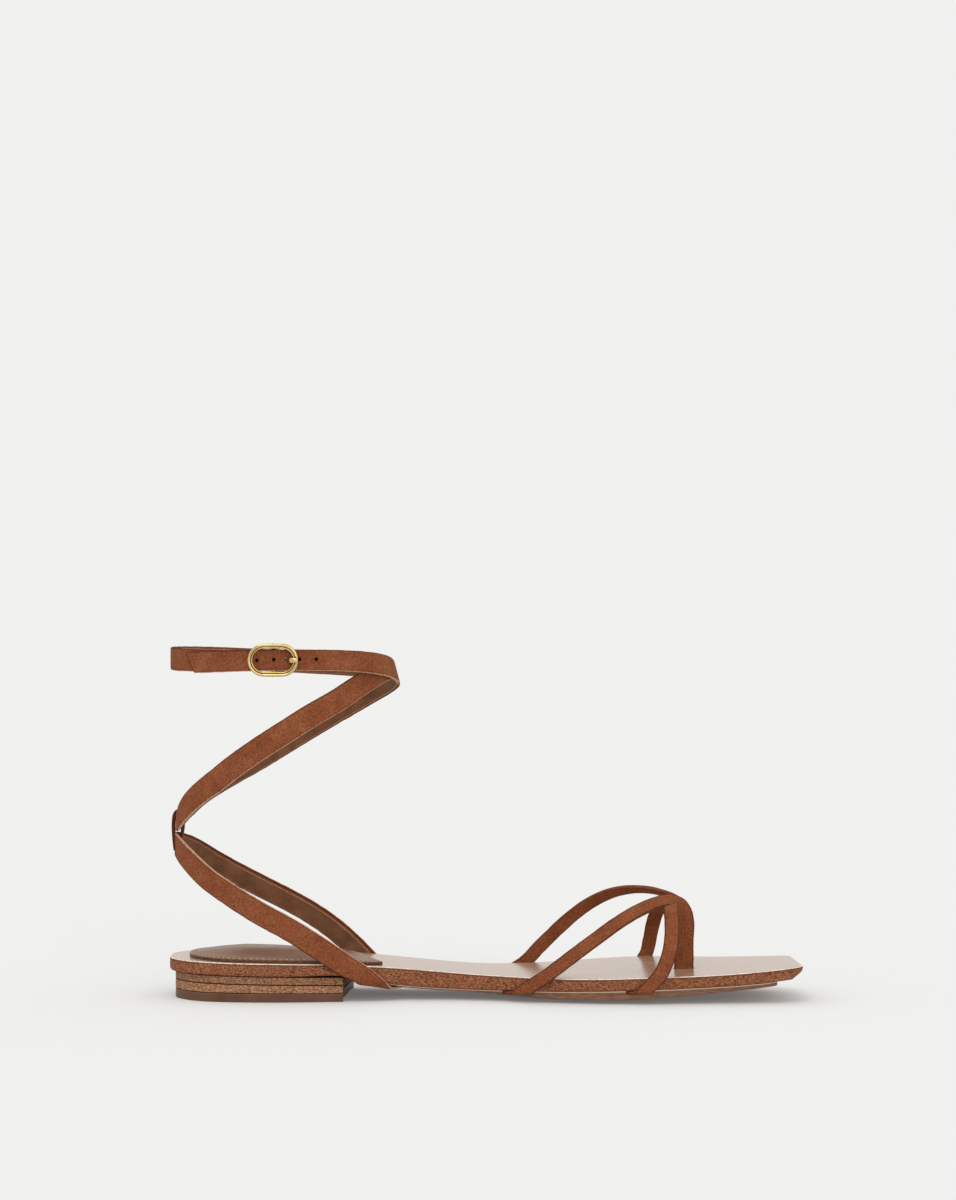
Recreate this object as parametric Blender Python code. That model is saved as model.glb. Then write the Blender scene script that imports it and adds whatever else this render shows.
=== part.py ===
"""Flat ankle strap sandal, left foot, standing empty on its sole.

Drawn in millimetres: X runs from heel to toe, Y from the medial side (-) to
the lateral side (+), Z up from the floor. The last step moves everything so
that the origin is at the middle of the footprint, on the floor.
"""

import bisect
import math

import bmesh
import bpy
import numpy as np

MM = 0.001
GAP = 0.3  # air between neighbouring pieces

# --- sole -------------------------------------------------------------------
# Outline of the board: one row per section, both ends of the section line.
OUTLINE_COLUMNS = ("medial_x", "medial_y", "lateral_x", "lateral_y")
OUTLINE = (
    (-121.4, -4.0, -121.4, 5.0),
    (-120.4, -9.5, -120.4, 10.5),
    (-118.2, -14.2, -118.2, 15.2),
    (-114.8, -18.6, -114.8, 19.6),
    (-109.5, -22.6, -109.5, 23.4),
    (-102.0, -25.6, -102.0, 26.0),
    (-92.0, -27.5, -92.0, 27.5),
    (-78.0, -28.0, -78.0, 28.0),
    (-65.0, -27.0, -65.0, 27.4),
    (-53.0, -25.4, -53.0, 26.3),
    (-44.0, -23.8, -44.0, 25.1),
    (-36.0, -21.6, -36.0, 24.0),
    (-27.0, -20.0, -27.0, 22.9),
    (-16.0, -19.6, -16.0, 21.9),
    (-5.0, -20.4, -5.0, 21.3),
    (5.0, -22.6, 5.0, 22.2),
    (14.0, -25.6, 14.0, 25.0),
    (23.0, -28.8, 23.0, 29.0),
    (32.0, -31.4, 32.0, 34.2),
    (42.0, -33.6, 42.0, 40.0),
    (52.0, -34.8, 52.0, 44.2),
    (62.0, -35.1, 62.0, 45.8),
    (72.0, -34.9, 72.0, 44.6),
    (82.0, -34.4, 82.0, 41.0),
    (92.0, -33.8, 92.0, 35.9),
    (102.0, -33.2, 102.0, 30.0),
    (112.0, -32.7, 111.5, 23.6),
    (119.0, -32.2, 117.6, 18.6),
    (123.2, -31.0, 121.4, 15.4),
    (125.4, -28.8, 123.6, 12.6),
    (126.4, -25.6, 124.5, 9.6),
)

# Heights along the shoe: top of the board, its underside, the lowest line of
# the outsole and the height of the outsole's lower side edge.
PROFILE_COLUMNS = ("x", "seat", "under", "keel", "bilge")
PROFILE = (
    (-122.0, 15.9, 10.8, 9.6, 10.2),
    (-95.0, 15.4, 10.4, 9.2, 9.8),
    (-75.0, 15.1, 10.1, 8.9, 9.5),
    (-49.0, 14.35, 9.66, 8.1, 8.6),
    (-42.0, 13.85, 8.25, 6.6, 7.1),
    (-30.0, 12.85, 6.2, 4.4, 5.1),
    (-15.0, 11.55, 4.95, 3.2, 3.9),
    (0.0, 10.5, 4.45, 2.3, 3.2),
    (12.0, 10.1, 4.5, 1.1, 2.6),
    (24.0, 9.9, 4.65, 0.35, 2.05),
    (34.0, 9.85, 4.85, 0.0, 1.7),
    (46.0, 10.0, 5.15, 0.0, 1.55),
    (58.0, 10.35, 5.55, 0.0, 1.7),
    (68.0, 10.65, 5.85, 0.55, 2.2),
    (80.0, 11.0, 6.3, 1.8, 3.1),
    (92.0, 11.5, 6.85, 3.15, 4.2),
    (104.0, 12.3, 7.6, 4.6, 5.4),
    (115.0, 13.35, 8.65, 6.1, 6.7),
    (121.0, 14.0, 9.3, 6.9, 7.4),
    (127.0, 14.6, 9.9, 7.7, 8.2),
)
TOE_BEVEL_START = 115.0  # from here the board's underside is pared up to the tip
TOE_BEVEL_LENGTH = 11.6
TOE_TIP_THICKNESS = 1.0

OUTSOLE_INSET = 2.0
OUTSOLE_REAR = -48.6
OUTSOLE_FRONT = 116.4
FLAT_REAR, FLAT_FRONT = 33.0, 59.0  # the forefoot's flat spot
FLAT_MEDIAL, FLAT_LATERAL = -16.0, 20.0

# --- heel -------------------------------------------------------------------
HEEL_INSET_REAR, HEEL_INSET_SIDE = 2.2, 1.2
BREAST_MEDIAL, BREAST_LATERAL, BREAST_HOLLOW = -52.6, -49.8, 1.3
# Each layer: height of its top and underside at the back and at the breast.
LAYER_COLUMNS = ("name", "top_back", "top_breast", "under_back", "under_breast")
LAYERS = (
    ("heel_lift_upper", 10.45, 9.35, 7.55, 6.45),
    ("heel_lift_lower", 7.25, 6.15, 3.75, 3.35),
    ("heel_top_piece", 3.45, 3.05, 0.0, 0.0),
)

# --- heel pad ---------------------------------------------------------------
PAD_MARGIN = 2.3
PAD_REAR = -113.6
PAD_FRONT_MEDIAL, PAD_FRONT_LATERAL = -37.4, -51.5
PAD_EDGE = 1.1
# Height of the crown above the pad's edge, along the shoe.
CROWN_COLUMNS = ("x", "crown")
CROWN = (
    (-114.0, 0.0),
    (-108.0, 1.1),
    (-101.0, 2.2),
    (-92.0, 3.0),
    (-80.0, 2.8),
    (-70.0, 2.2),
    (-60.0, 1.4),
    (-50.0, 0.6),
    (-40.0, 0.1),
    (-37.0, 0.0),
)

# --- straps -----------------------------------------------------------------
# Ribbons: a row per bend. x, y, z is the middle of the strap, nx, ny, nz the
# way its outer face looks, and w its width.
RIBBON_COLUMNS = ("x", "y", "z", "nx", "ny", "nz", "w")
TOE_STRAP = 1.6  # thickness
HEEL_STRAP = 1.6
ANKLE_STRAP = 1.5
TOE_PITCH, HEEL_PITCH = 4.4, 5.4  # spacing of the sections along a strap
BEND = 16.0  # and the turn in degrees that takes one more of them

# Feet: where a strap folds under the board. x is the place along the edge,
# side is -1 medial or 1 lateral, travel is 1 if the strap comes down towards
# the toe and -1 if towards the heel, slope the angle it comes down at, w its
# width, tuck how far it reaches in under the board, and sag how far the fold
# hangs below it, in which case the strap turns past level on its way in.
FEET_COLUMNS = ("name", "x", "side", "travel", "slope", "w", "tuck", "sag", "turned")
FEET = (
    ("thong_medial", 18.8, -1, -1, 35.0, 5.4, 4.5, 0.0, 90),
    ("thong_lateral", 12.9, 1, -1, 43.0, 5.4, 4.5, 0.0, 90),
    ("arch_medial", 65.4, -1, -1, 46.0, 5.4, 4.5, 0.0, 90),
    ("arch_lateral", 66.0, 1, -1, 72.0, 5.4, 4.5, 0.0, 90),
    ("heel_medial", -42.3, -1, 1, 38.0, 7.8, 3.6, 1.0, 104),
    ("heel_lateral", -40.2, 1, 1, 42.0, 8.4, 3.6, 1.2, 110),
)
TUCK = 1.0  # a strap is skived to this where it goes under the board
ROLL = 1.35  # radius of the fold, at the strap's middle
LEVELLING = 11.0  # over this length the sections turn to lie along the edge

THONG_MEDIAL = (
    (25.2, -31.3, 9.9, -0.2, -1.0, 0.05, 5.4),
    (31.8, -32.2, 14.9, -0.05, -1.0, 0.15, 5.4),
    (39.6, -31.8, 20.8, 0.0, -1.0, 0.25, 5.4),
    (47.3, -30.2, 26.3, 0.0, -1.0, 0.4, 5.4),
    (55.2, -27.2, 31.6, 0.0, -1.0, 0.55, 5.4),
    (63.1, -22.6, 35.7, 0.0, -0.95, 0.7, 5.4),
    (70.0, -16.4, 37.9, 0.1, -0.85, 0.8, 5.5),
    (75.6, -10.6, 38.0, 0.2, -0.85, 0.6, 6.0),
    (79.6, -7.4, 35.4, 0.15, -1.0, 0.2, 6.8),
    (81.2, -6.2, 30.6, 0.0, -1.0, 0.0, 7.4),
    (81.1, -5.95, 22.0, 0.0, -1.0, 0.0, 7.5),
    (81.1, -5.95, 6.9, 0.0, -1.0, 0.0, 7.6),
)
THONG_LATERAL = (
    (18.4, 29.2, 9.6, -0.35, 1.0, 0.0, 5.4),
    (25.2, 31.0, 16.3, -0.1, 1.0, 0.15, 5.4),
    (33.1, 29.4, 24.2, 0.0, 1.0, 0.35, 5.4),
    (41.0, 26.0, 31.3, 0.0, 1.0, 0.6, 5.4),
    (48.9, 21.2, 36.6, 0.0, 0.9, 0.8, 5.4),
    (56.7, 15.8, 39.8, 0.0, 0.7, 0.9, 5.4),
    (64.5, 10.4, 40.9, 0.0, 0.6, 1.0, 5.4),
    (72.0, 4.8, 40.2, 0.1, 0.6, 1.0, 5.6),
    (77.6, -0.8, 37.6, 0.3, 0.8, 0.8, 6.2),
    (80.8, -3.7, 33.0, 0.1, 1.0, 0.2, 7.2),
    (81.1, -4.4, 22.0, 0.0, 1.0, 0.0, 7.5),
    (81.1, -4.4, 6.9, 0.0, 1.0, 0.0, 7.6),
)
ARCH = (
    (70.2, -37.1, 11.6, 0.0, -1.0, 0.0, 5.6),
    (73.8, -36.7, 20.0, 0.0, -1.0, 0.15, 5.6),
    (74.9, -34.4, 25.8, 0.0, -1.0, 0.35, 5.6),
    (75.2, -29.6, 31.0, 0.0, -0.85, 0.7, 5.6),
    (75.3, -22.0, 34.6, 0.0, -0.5, 1.0, 5.6),
    (75.8, -12.0, 36.4, 0.0, -0.15, 1.0, 5.6),
    (76.8, -2.0, 37.2, 0.0, 0.0, 1.0, 5.6),
    (77.2, 8.0, 37.3, 0.0, 0.1, 1.0, 5.6),
    (76.6, 18.0, 36.4, 0.0, 0.3, 1.0, 5.6),
    (74.7, 27.6, 33.6, 0.0, 0.6, 1.0, 5.6),
    (72.1, 36.0, 29.2, 0.0, 1.0, 0.7, 5.6),
    (70.6, 42.4, 23.2, 0.0, 1.0, 0.35, 5.6),
    (69.6, 46.4, 16.8, 0.0, 1.0, 0.1, 5.5),
    (68.2, 47.4, 11.2, 0.0, 1.0, 0.0, 5.4),
)
HEEL_BAND = (
    (-51.4, -27.2, 14.5, 0.05, -1.0, 0.0, 8.8),
    (-58.4, -28.4, 19.2, 0.0, -1.0, 0.0, 9.0),
    (-72.3, -29.2, 28.2, 0.0, -1.0, 0.0, 9.0),
    (-86.3, -28.6, 35.9, -0.1, -1.0, 0.0, 9.0),
    (-97.0, -25.8, 42.4, -0.4, -1.0, 0.0, 9.0),
    (-105.3, -21.0, 47.7, -0.6, -1.0, 0.0, 9.0),
    (-112.0, -14.2, 53.2, -0.8, -0.8, 0.0, 9.1),
    (-117.2, -6.4, 58.0, -1.0, -0.4, 0.0, 9.2),
    (-119.0, 0.0, 59.8, -1.0, 0.0, 0.0, 9.2),
    (-117.4, 6.4, 59.4, -1.0, 0.4, 0.0, 8.7),
    (-112.6, 13.8, 56.8, -0.8, 0.8, 0.0, 8.4),
    (-105.6, 20.6, 51.6, -0.6, 1.0, 0.0, 8.6),
    (-96.6, 25.8, 45.8, -0.4, 1.0, 0.0, 8.9),
    (-87.6, 28.4, 40.8, -0.1, 1.0, 0.0, 9.0),
    (-76.2, 29.6, 34.9, 0.0, 1.0, 0.0, 9.0),
    (-67.5, 29.4, 30.0, 0.0, 1.0, 0.0, 9.0),
    (-58.8, 28.8, 24.1, 0.0, 1.0, 0.0, 9.0),
    (-49.6, 27.6, 16.3, -0.05, 1.0, 0.0, 8.8),
)
# The tab that folds over the ankle strap at the back of the heel.
TAB = (
    (-119.5, 0.0, 57.4, -1.0, 0.0, 0.0, 5.4),
    (-119.9, 0.0, 61.0, -1.0, 0.0, -0.1, 5.5),
    (-120.2, 0.0, 65.6, -1.0, 0.0, 0.0, 5.6),
    (-120.15, 0.0, 69.2, -1.0, 0.0, 0.1, 5.6),
    (-119.8, 0.0, 71.4, -0.9, 0.0, 0.5, 5.6),
    (-119.0, 0.0, 72.6, -0.5, 0.0, 1.0, 5.6),
    (-118.1, 0.0, 72.8, 0.2, 0.0, 1.0, 5.6),
    (-117.1, 0.0, 72.1, 0.8, 0.0, 0.6, 5.6),
    (-116.6, 0.0, 70.2, 1.0, 0.0, 0.1, 5.6),
    (-116.55, 0.0, 66.0, 1.0, 0.0, 0.0, 5.6),
    (-117.1, 0.0, 62.9, 1.0, 0.0, -0.3, 5.5),
    (-118.2, 0.0, 59.6, 1.0, 0.0, -0.5, 5.4),
)
TAB_THICKNESS = 1.2

# The ankle strap is one strap. It is wound on an oval seen from above, from
# its free tip, under the buckle, round the front, down the lateral side,
# through the tab at the back (turn 0), up the medial side, round the front
# under itself, round the back and to the buckle's bar.
OVAL_X, OVAL_LONG, OVAL_WIDE = -77.3, 43.2, 28.2
OUTER_TURN = 1.95
WIND_COLUMNS = ("turn", "z", "out", "lean", "w")
WIND = (
    (-320.0, 132.1, 1.95, 0.0, 8.3),
    (-304.0, 132.6, 1.95, 0.0, 8.3),
    (-288.0, 133.1, 1.95, 0.0, 8.2),
    (-272.0, 133.5, 1.95, 0.0, 8.2),
    (-255.0, 133.4, 1.95, 0.0, 8.2),
    (-238.0, 133.1, 1.95, 0.0, 8.2),
    (-220.0, 132.1, 1.8, 0.08, 8.3),
    (-203.0, 130.5, 1.6, 0.22, 8.6),
    (-187.0, 128.2, 1.55, 0.28, 8.8),
    (-172.0, 125.8, 1.6, 0.28, 8.6),
    (-156.0, 122.6, 1.7, 0.2, 8.4),
    (-140.0, 118.5, 1.6, 0.08, 8.3),
    (-123.0, 112.3, 0.8, 0.0, 8.3),
    (-109.0, 106.5, 0.2, 0.0, 8.3),
    (-96.0, 100.6, 0.0, 0.0, 8.3),
    (-84.0, 95.0, 0.0, 0.0, 8.3),
    (-71.0, 89.4, 0.0, 0.0, 8.3),
    (-56.0, 83.8, -0.4, 0.0, 8.3),
    (-40.0, 78.5, -1.0, 0.0, 8.3),
    (-24.0, 73.0, -1.5, 0.0, 8.2),
    (-10.0, 68.7, -1.9, 0.0, 6.5),
    (0.0, 68.0, -1.95, 0.0, 6.2),
    (10.0, 68.8, -1.9, 0.0, 6.5),
    (24.0, 73.5, -1.5, 0.0, 8.2),
    (35.0, 77.9, -1.0, 0.0, 8.7),
    (45.0, 82.0, -0.7, 0.0, 9.0),
    (54.0, 85.8, -0.4, 0.0, 9.2),
    (68.0, 92.9, 0.0, 0.0, 9.2),
    (81.0, 99.5, 0.0, 0.0, 9.2),
    (94.0, 105.8, 0.0, 0.0, 9.2),
    (106.0, 111.4, 0.0, 0.0, 9.2),
    (120.0, 117.0, 0.0, 0.0, 9.1),
    (135.0, 122.7, -0.3, 0.08, 8.9),
    (154.0, 127.4, -0.6, 0.2, 8.4),
    (172.0, 129.2, -0.7, 0.28, 8.5),
    (190.0, 129.4, -0.7, 0.28, 8.6),
    (210.0, 129.3, -0.5, 0.16, 8.7),
    (240.0, 129.8, 0.0, 0.0, 8.8),
    (272.0, 131.0, 0.0, 0.0, 8.8),
    (305.0, 132.3, 0.0, 0.0, 8.8),
    (335.0, 133.0, 0.0, 0.0, 8.8),
    (360.0, 133.1, 0.0, 0.0, 8.8),
    (385.0, 132.9, 0.0, 0.0, 8.8),
    (408.0, 132.9, 0.0, 0.0, 8.4),
    (428.0, 133.2, 0.0, 0.0, 8.1),
)
TURN_STEP = 8.0
FREE_TIP_SLANT = 4.2  # how much the strap's cut end leans along the strap

# --- buckle -----------------------------------------------------------------
BUCKLE_X, BUCKLE_Z = -79.4, 133.5
BUCKLE_LENGTH, BUCKLE_HEIGHT = 19.7, 12.8
FRAME_Y = -32.3
FRAME_WIRE = 0.98  # half thickness of the oval
BAR_Y, BAR_WIRE = -26.4, 0.8
PRONG_WIRE = 0.6
EYE_RADIUS = 1.7
PRONG_HOLE_X, PRONG_HOLE_R = -74.0, 1.7
FOLD_LENGTH = 13.0


# --- helpers ----------------------------------------------------------------
def turning(a, b):
    """Degrees between two directions."""
    size = np.linalg.norm(a) * np.linalg.norm(b)
    return math.degrees(math.acos(max(-1.0, min(1.0, float(np.dot(a, b)) / size)))) if size else 0.0


def smooth_rows(rows, lengths, pitch, bend=None):
    """Hermite curve through the rows, whose parameter runs over `lengths`.
    Where the curve turns more than `bend` degrees it gets more sections."""
    p = np.array(rows, float)
    s = np.concatenate([[0.0], np.cumsum(lengths)])
    slope = (p[1:] - p[:-1]) / (s[1:] - s[:-1])[:, None]
    tangent = np.empty_like(p)
    tangent[0], tangent[-1] = slope[0], slope[-1]
    for i in range(1, len(p) - 1):
        before, after = s[i] - s[i - 1], s[i + 1] - s[i]
        tangent[i] = (slope[i - 1] * after + slope[i] * before) / (before + after)
    out = [p[0]]
    for i in range(len(p) - 1):
        h = s[i + 1] - s[i]
        count = max(1, math.ceil(h / pitch - 0.01))
        if bend:
            turn = max(turning(tangent[i][:3], tangent[i + 1][:3]), turning(p[i][3:6], p[i + 1][3:6]))
            count = max(count, math.ceil(turn / bend - 0.01))
        for k in range(1, count + 1):
            t = k / count
            a, b = 2 * t**3 - 3 * t**2 + 1, t**3 - 2 * t**2 + t
            c, d = -2 * t**3 + 3 * t**2, t**3 - t**2
            out.append(a * p[i] + b * h * tangent[i] + c * p[i + 1] + d * h * tangent[i + 1])
    return np.array(out)


def curve_through(rows, pitch):
    """The same, with the distance between the rows' first three columns."""
    p = np.array(rows, float)
    return smooth_rows(p, np.linalg.norm(np.diff(p[:, :3], axis=0), axis=1), pitch, BEND)


PROFILE_FINE = smooth_rows(PROFILE, [b[0] - a[0] for a, b in zip(PROFILE, PROFILE[1:])], 2.0)


def height(column, x):
    return float(np.interp(x, PROFILE_FINE[:, 0], PROFILE_FINE[:, PROFILE_COLUMNS.index(column)]))


def ease(t):
    t = min(1.0, max(0.0, t))
    return t * t * (3 - 2 * t)


def outline_sections(pitch=5.0):
    """Medial and lateral edge points, section by section."""
    rows = np.array(OUTLINE)
    steps = np.linalg.norm(np.diff(rows, axis=0), axis=1) / math.sqrt(2)
    fine = smooth_rows(rows, steps, pitch)
    return fine[:, :2], fine[:, 2:]


def moved_inward(medial, lateral, inset):
    """Both edges moved inward along the outline's own normals."""
    loop = np.concatenate([medial, lateral[::-1]])
    ahead, behind = np.roll(loop, -1, axis=0), np.roll(loop, 1, axis=0)
    e1 = loop - behind
    e2 = ahead - loop
    e1 /= np.linalg.norm(e1, axis=1)[:, None]
    e2 /= np.linalg.norm(e2, axis=1)[:, None]
    # The loop runs counter-clockwise, so inward is to the left of its edges.
    n1 = np.stack([-e1[:, 1], e1[:, 0]], axis=1)
    n2 = np.stack([-e2[:, 1], e2[:, 0]], axis=1)
    n = n1 + n2
    n /= np.linalg.norm(n, axis=1)[:, None]
    lengthen = 1 / np.maximum(0.6, (n * n1).sum(axis=1))
    inset = np.broadcast_to(np.asarray(inset, float), (len(loop),))
    loop = loop + n * (inset * lengthen)[:, None]
    return loop[: len(medial)], loop[len(medial) :][::-1]


def new_object(name, vertices, faces, material, keep=True):
    mesh = bpy.data.meshes.new(name)
    mesh.from_pydata([tuple(float(c) * MM for c in v) for v in vertices], [], faces)
    work = bmesh.new()
    work.from_mesh(mesh)
    bmesh.ops.recalc_face_normals(work, faces=work.faces)
    work.to_mesh(mesh)
    work.free()
    obj = bpy.data.objects.new(name, mesh)
    bpy.context.scene.collection.objects.link(obj)
    mesh.materials.append(material)
    if not keep:
        obj.hide_render = True
        obj.display_type = "WIRE"
    return obj


def slab(name, rings, material, keep=True):
    """A closed solid from rings of (medial, lateral) points, top ring first."""
    count = len(rings[0][0])
    vertices, faces = [], []
    for medial, lateral in rings:
        vertices += [tuple(p) for p in medial] + [tuple(p) for p in lateral]
    per = 2 * count
    loop = list(range(count)) + list(range(per - 1, count - 1, -1))
    for r in range(len(rings) - 1):
        for i in range(per):
            a, b = loop[i], loop[(i + 1) % per]
            faces.append((r * per + a, r * per + b, (r + 1) * per + b, (r + 1) * per + a))
    for r in (0, len(rings) - 1):
        for i in range(count - 1):
            faces.append((r * per + i, r * per + i + 1, r * per + count + i + 1, r * per + count + i))
    return new_object(name, vertices, faces, material, keep)


def lifted(edges, inset, level):
    """One ring: the edges moved inward, each point at level(x, y)."""
    medial, lateral = moved_inward(*edges, inset)
    return tuple([(x, y, level(x, y)) for x, y in side] for side in (medial, lateral))


def section_points(w, t):
    """A strap's section: flat faces and rounded, turned edges."""
    a, b = w / 2, t / 2
    c, d = min(0.55, 0.7 * b), 0.55 * b
    return (
        (-a, -d + 0.0), (-a + c, -b), (a - c, -b), (a, -d),
        (a, d), (a - c, b), (-a + c, b), (-a, d),
    )


def sweep(name, frames, material, keep=True):
    """A closed solid along frames of (centre, across, out, section)."""
    vertices, faces = [], []
    for centre, across, out, section in frames:
        vertices += [tuple(centre + across * u + out * v) for u, v in section]
    n = len(frames[0][3])
    for i in range(len(frames) - 1):
        for k in range(n):
            a, b = i * n + k, i * n + (k + 1) % n
            faces.append((a, b, b + n, a + n))
    faces.append(tuple(range(n)))
    faces.append(tuple((len(frames) - 1) * n + k for k in range(n)))
    return new_object(name, vertices, faces, material, keep)


def unit(v):
    return v / np.linalg.norm(v)


def ribbon_frames(fine, thickness, grow=0.0, level_from=None, level_to=None):
    """fine holds RIBBON_COLUMNS. The sections stand square to the strap, but
    near a foot, at either end, they turn to lie along the board's edge."""
    steps = np.linalg.norm(np.diff(fine[:, :3], axis=0), axis=1)
    reach = np.concatenate([[0.0], np.cumsum(steps)])
    frames = []
    for i, row in enumerate(fine):
        ahead, behind = fine[min(i + 1, len(fine) - 1)], fine[max(i - 1, 0)]
        along = unit(ahead[:3] - behind[:3])
        out = row[3:6] - along * np.dot(row[3:6], along)
        out = unit(out)
        across = np.cross(along, out)
        share = 0.0
        if level_from:
            share = max(share, ease(1 - reach[i] / LEVELLING))
        if level_to:
            share = max(share, ease(1 - (reach[-1] - reach[i]) / LEVELLING))
        if share:
            across = across - along * (across[2] / along[2] * share)
        frames.append((row[:3], across, out, section_points(row[6] + 2 * grow, thickness + 2 * grow)))
    return frames


EDGES = {}  # side: the board's edge, filled in by main


def foot(name, thickness):
    """Where a strap reaches the fold: the place, the edge's direction the strap
    travels in, outward, and downwards along the strap."""
    row = next(row for row in FEET if row[0] == name)
    found = dict(zip(FEET_COLUMNS, row))
    edge = EDGES[found["side"]]
    x, side = found["x"], found["side"]
    y = float(np.interp(x, edge[:, 0], edge[:, 1]))
    rise = float(np.interp(x + 4, edge[:, 0], edge[:, 1]) - np.interp(x - 4, edge[:, 0], edge[:, 1])) / 8
    found["tangent"] = unit(np.array((1.0, rise, 0.0))) * found["travel"]
    found["outward"] = unit(np.array((-rise, 1.0, 0.0))) * side
    angle = math.radians(found["slope"])
    # A hollow stretch of edge stands further out than its tangent.
    half = found["w"] / 2 / math.sin(angle)
    near = edge[(edge[:, 0] > x - half) & (edge[:, 0] < x + half)] - (x, y)
    proud = max(0.0, float((near @ found["outward"][:2]).max()))
    level = height("under", x) - GAP - TUCK / 2 + ROLL - found["sag"]
    found["place"] = np.array((x, y, level)) + found["outward"] * (GAP + proud + thickness / 2)
    found["lean"] = (height("under", x + 4) - height("under", x - 4)) / 8
    found["down"] = found["tangent"] * math.cos(angle) - np.array((0.0, 0.0, math.sin(angle)))
    found["drift"] = 1 / math.tan(angle)
    return found


def foot_rows(at):
    """Two ribbon rows, of the fold's start and of a place above it."""
    above = at["place"] - at["down"] * 3.5
    return [(*place, *at["outward"], at["w"]) for place in (above, at["place"])]


def fold_frames(at, across, thickness, grow=0.0):
    """The strap's sections round the fold and in under the board."""
    up = np.array((0.0, 0.0, 1.0))
    frames = []
    for share in (0.25, 0.5, 0.75, 1.0):
        degrees = at["turned"] * share
        a = math.radians(degrees)
        centre = (
            at["place"] + at["tangent"] * (ROLL * a * at["drift"])
            + at["outward"] * (ROLL * math.cos(a) - ROLL) - up * (ROLL * math.sin(a))
        )
        # The board's underside is not level lengthwise.
        lean = at["lean"] * share
        centre = centre + up * (lean * (centre[0] - at["place"][0]))
        thin = thickness + (TUCK - thickness) * share
        frames.append((
            centre, across + up * (lean * across[0]), at["outward"] * math.cos(a) - up * math.sin(a),
            section_points(at["w"] + 2 * grow, thin + 2 * grow),
        ))
    centre, across, out, section = frames[-1]
    past = math.radians(at["turned"] - 90)
    run = at["tangent"] * at["drift"] - at["outward"] * math.cos(past) + up * math.sin(past)
    run = run + up * (at["lean"] * run[0])
    frames.append((centre + run * (at["tuck"] + grow), across, out, section))
    return frames


def strap_frames(rows, thickness, pitch, start=None, end=None):
    """All sections of a strap, with its feet."""
    rows = list(rows)
    first = foot(start, thickness) if start else None
    last = foot(end, thickness) if end else None
    if first:
        rows = foot_rows(first)[::-1] + rows
    if last:
        rows = rows + foot_rows(last)
    fine = curve_through(rows, pitch)
    frames = ribbon_frames(fine, thickness, 0.0, start, end)
    if first:
        frames = fold_frames(first, frames[0][1], thickness)[::-1] + frames
    if last:
        frames = frames + fold_frames(last, frames[-1][1], thickness)
    return frames


def boolean(obj, operation, *others):
    for other in others:
        modifier = obj.modifiers.new(other.name, "BOOLEAN")
        modifier.operation = operation
        modifier.solver = "EXACT"
        modifier.object = other
        other.hide_render = True
        other.display_type = "WIRE"


def material(name, colour, roughness, metallic=0.0):
    made = bpy.data.materials.new(name)
    made.use_nodes = True
    shader = made.node_tree.nodes["Principled BSDF"]
    shader.inputs["Base Color"].default_value = (*colour, 1.0)
    shader.inputs["Roughness"].default_value = roughness
    shader.inputs["Metallic"].default_value = metallic
    return made


def rounded_path(points, radius, steps=3):
    """A polyline whose corners are replaced by short arcs."""
    points = [np.array(p, float) for p in points]
    out = [points[0]]
    for before, corner, after in zip(points, points[1:], points[2:]):
        a, b = unit(before - corner), unit(after - corner)
        cut = min(radius, 0.45 * np.linalg.norm(before - corner), 0.45 * np.linalg.norm(after - corner))
        p, q = corner + a * cut, corner + b * cut
        for k in range(steps + 1):
            t = k / steps
            out.append((1 - t) ** 2 * p + 2 * t * (1 - t) * corner + t**2 * q)
    out.append(points[-1])
    return out


def rod(name, path, radius, made_of, closed=False, sides=8, squash=1.0, keep=True):
    """A round wire along points that lie near one plane."""
    path = np.array(path)
    normal = np.zeros(3)
    middle = path.mean(axis=0)
    for a, b in zip(path, path[1:]):
        normal += np.cross(a - middle, b - middle)
    normal = unit(normal)
    n = len(path)
    vertices, faces = [], []
    for i in range(n):
        if closed:
            along = unit(path[(i + 1) % n] - path[i - 1])
        else:
            along = unit(path[min(i + 1, n - 1)] - path[max(i - 1, 0)])
        side = unit(np.cross(along, normal))
        for k in range(sides):
            angle = 2 * math.pi * (k + 0.5) / sides
            vertices.append(tuple(path[i] + radius * (math.cos(angle) * side + squash * math.sin(angle) * normal)))
    for i in range(n if closed else n - 1):
        for k in range(sides):
            a, b = i * sides + k, i * sides + (k + 1) % sides
            c, d = (i + 1) % n * sides + (k + 1) % sides, (i + 1) % n * sides + k
            faces.append((a, b, c, d))
    if not closed:
        faces.append(tuple(range(sides)))
        faces.append(tuple((n - 1) * sides + k for k in range(sides)))
    return new_object(name, vertices, faces, made_of, keep)


# --- sole -------------------------------------------------------------------
def toe_paring(x):
    t = min(1.0, max(0.0, (x - TOE_BEVEL_START) / TOE_BEVEL_LENGTH))
    return 1 - math.sqrt(1 - t * t)


def make_board(made_of):
    edges = outline_sections()
    loop_x = np.concatenate([edges[0][:, 0], edges[1][::-1, 0]])

    def wall_foot(x, y):
        full = height("seat", x) - height("under", x) - 0.5
        return height("seat", x) - (full + (TOE_TIP_THICKNESS - full) * toe_paring(x))

    under_inset = np.array([0.5 + 5.5 * toe_paring(x) for x in loop_x])
    rings = [
        lifted(edges, 0.45, lambda x, y: height("seat", x)),
        lifted(edges, 0.0, lambda x, y: height("seat", x) - 0.4),
        lifted(edges, 0.0, wall_foot),
        lifted(edges, under_inset, lambda x, y: height("under", x)),
    ]
    return slab("insole_board", rings, made_of)


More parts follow.
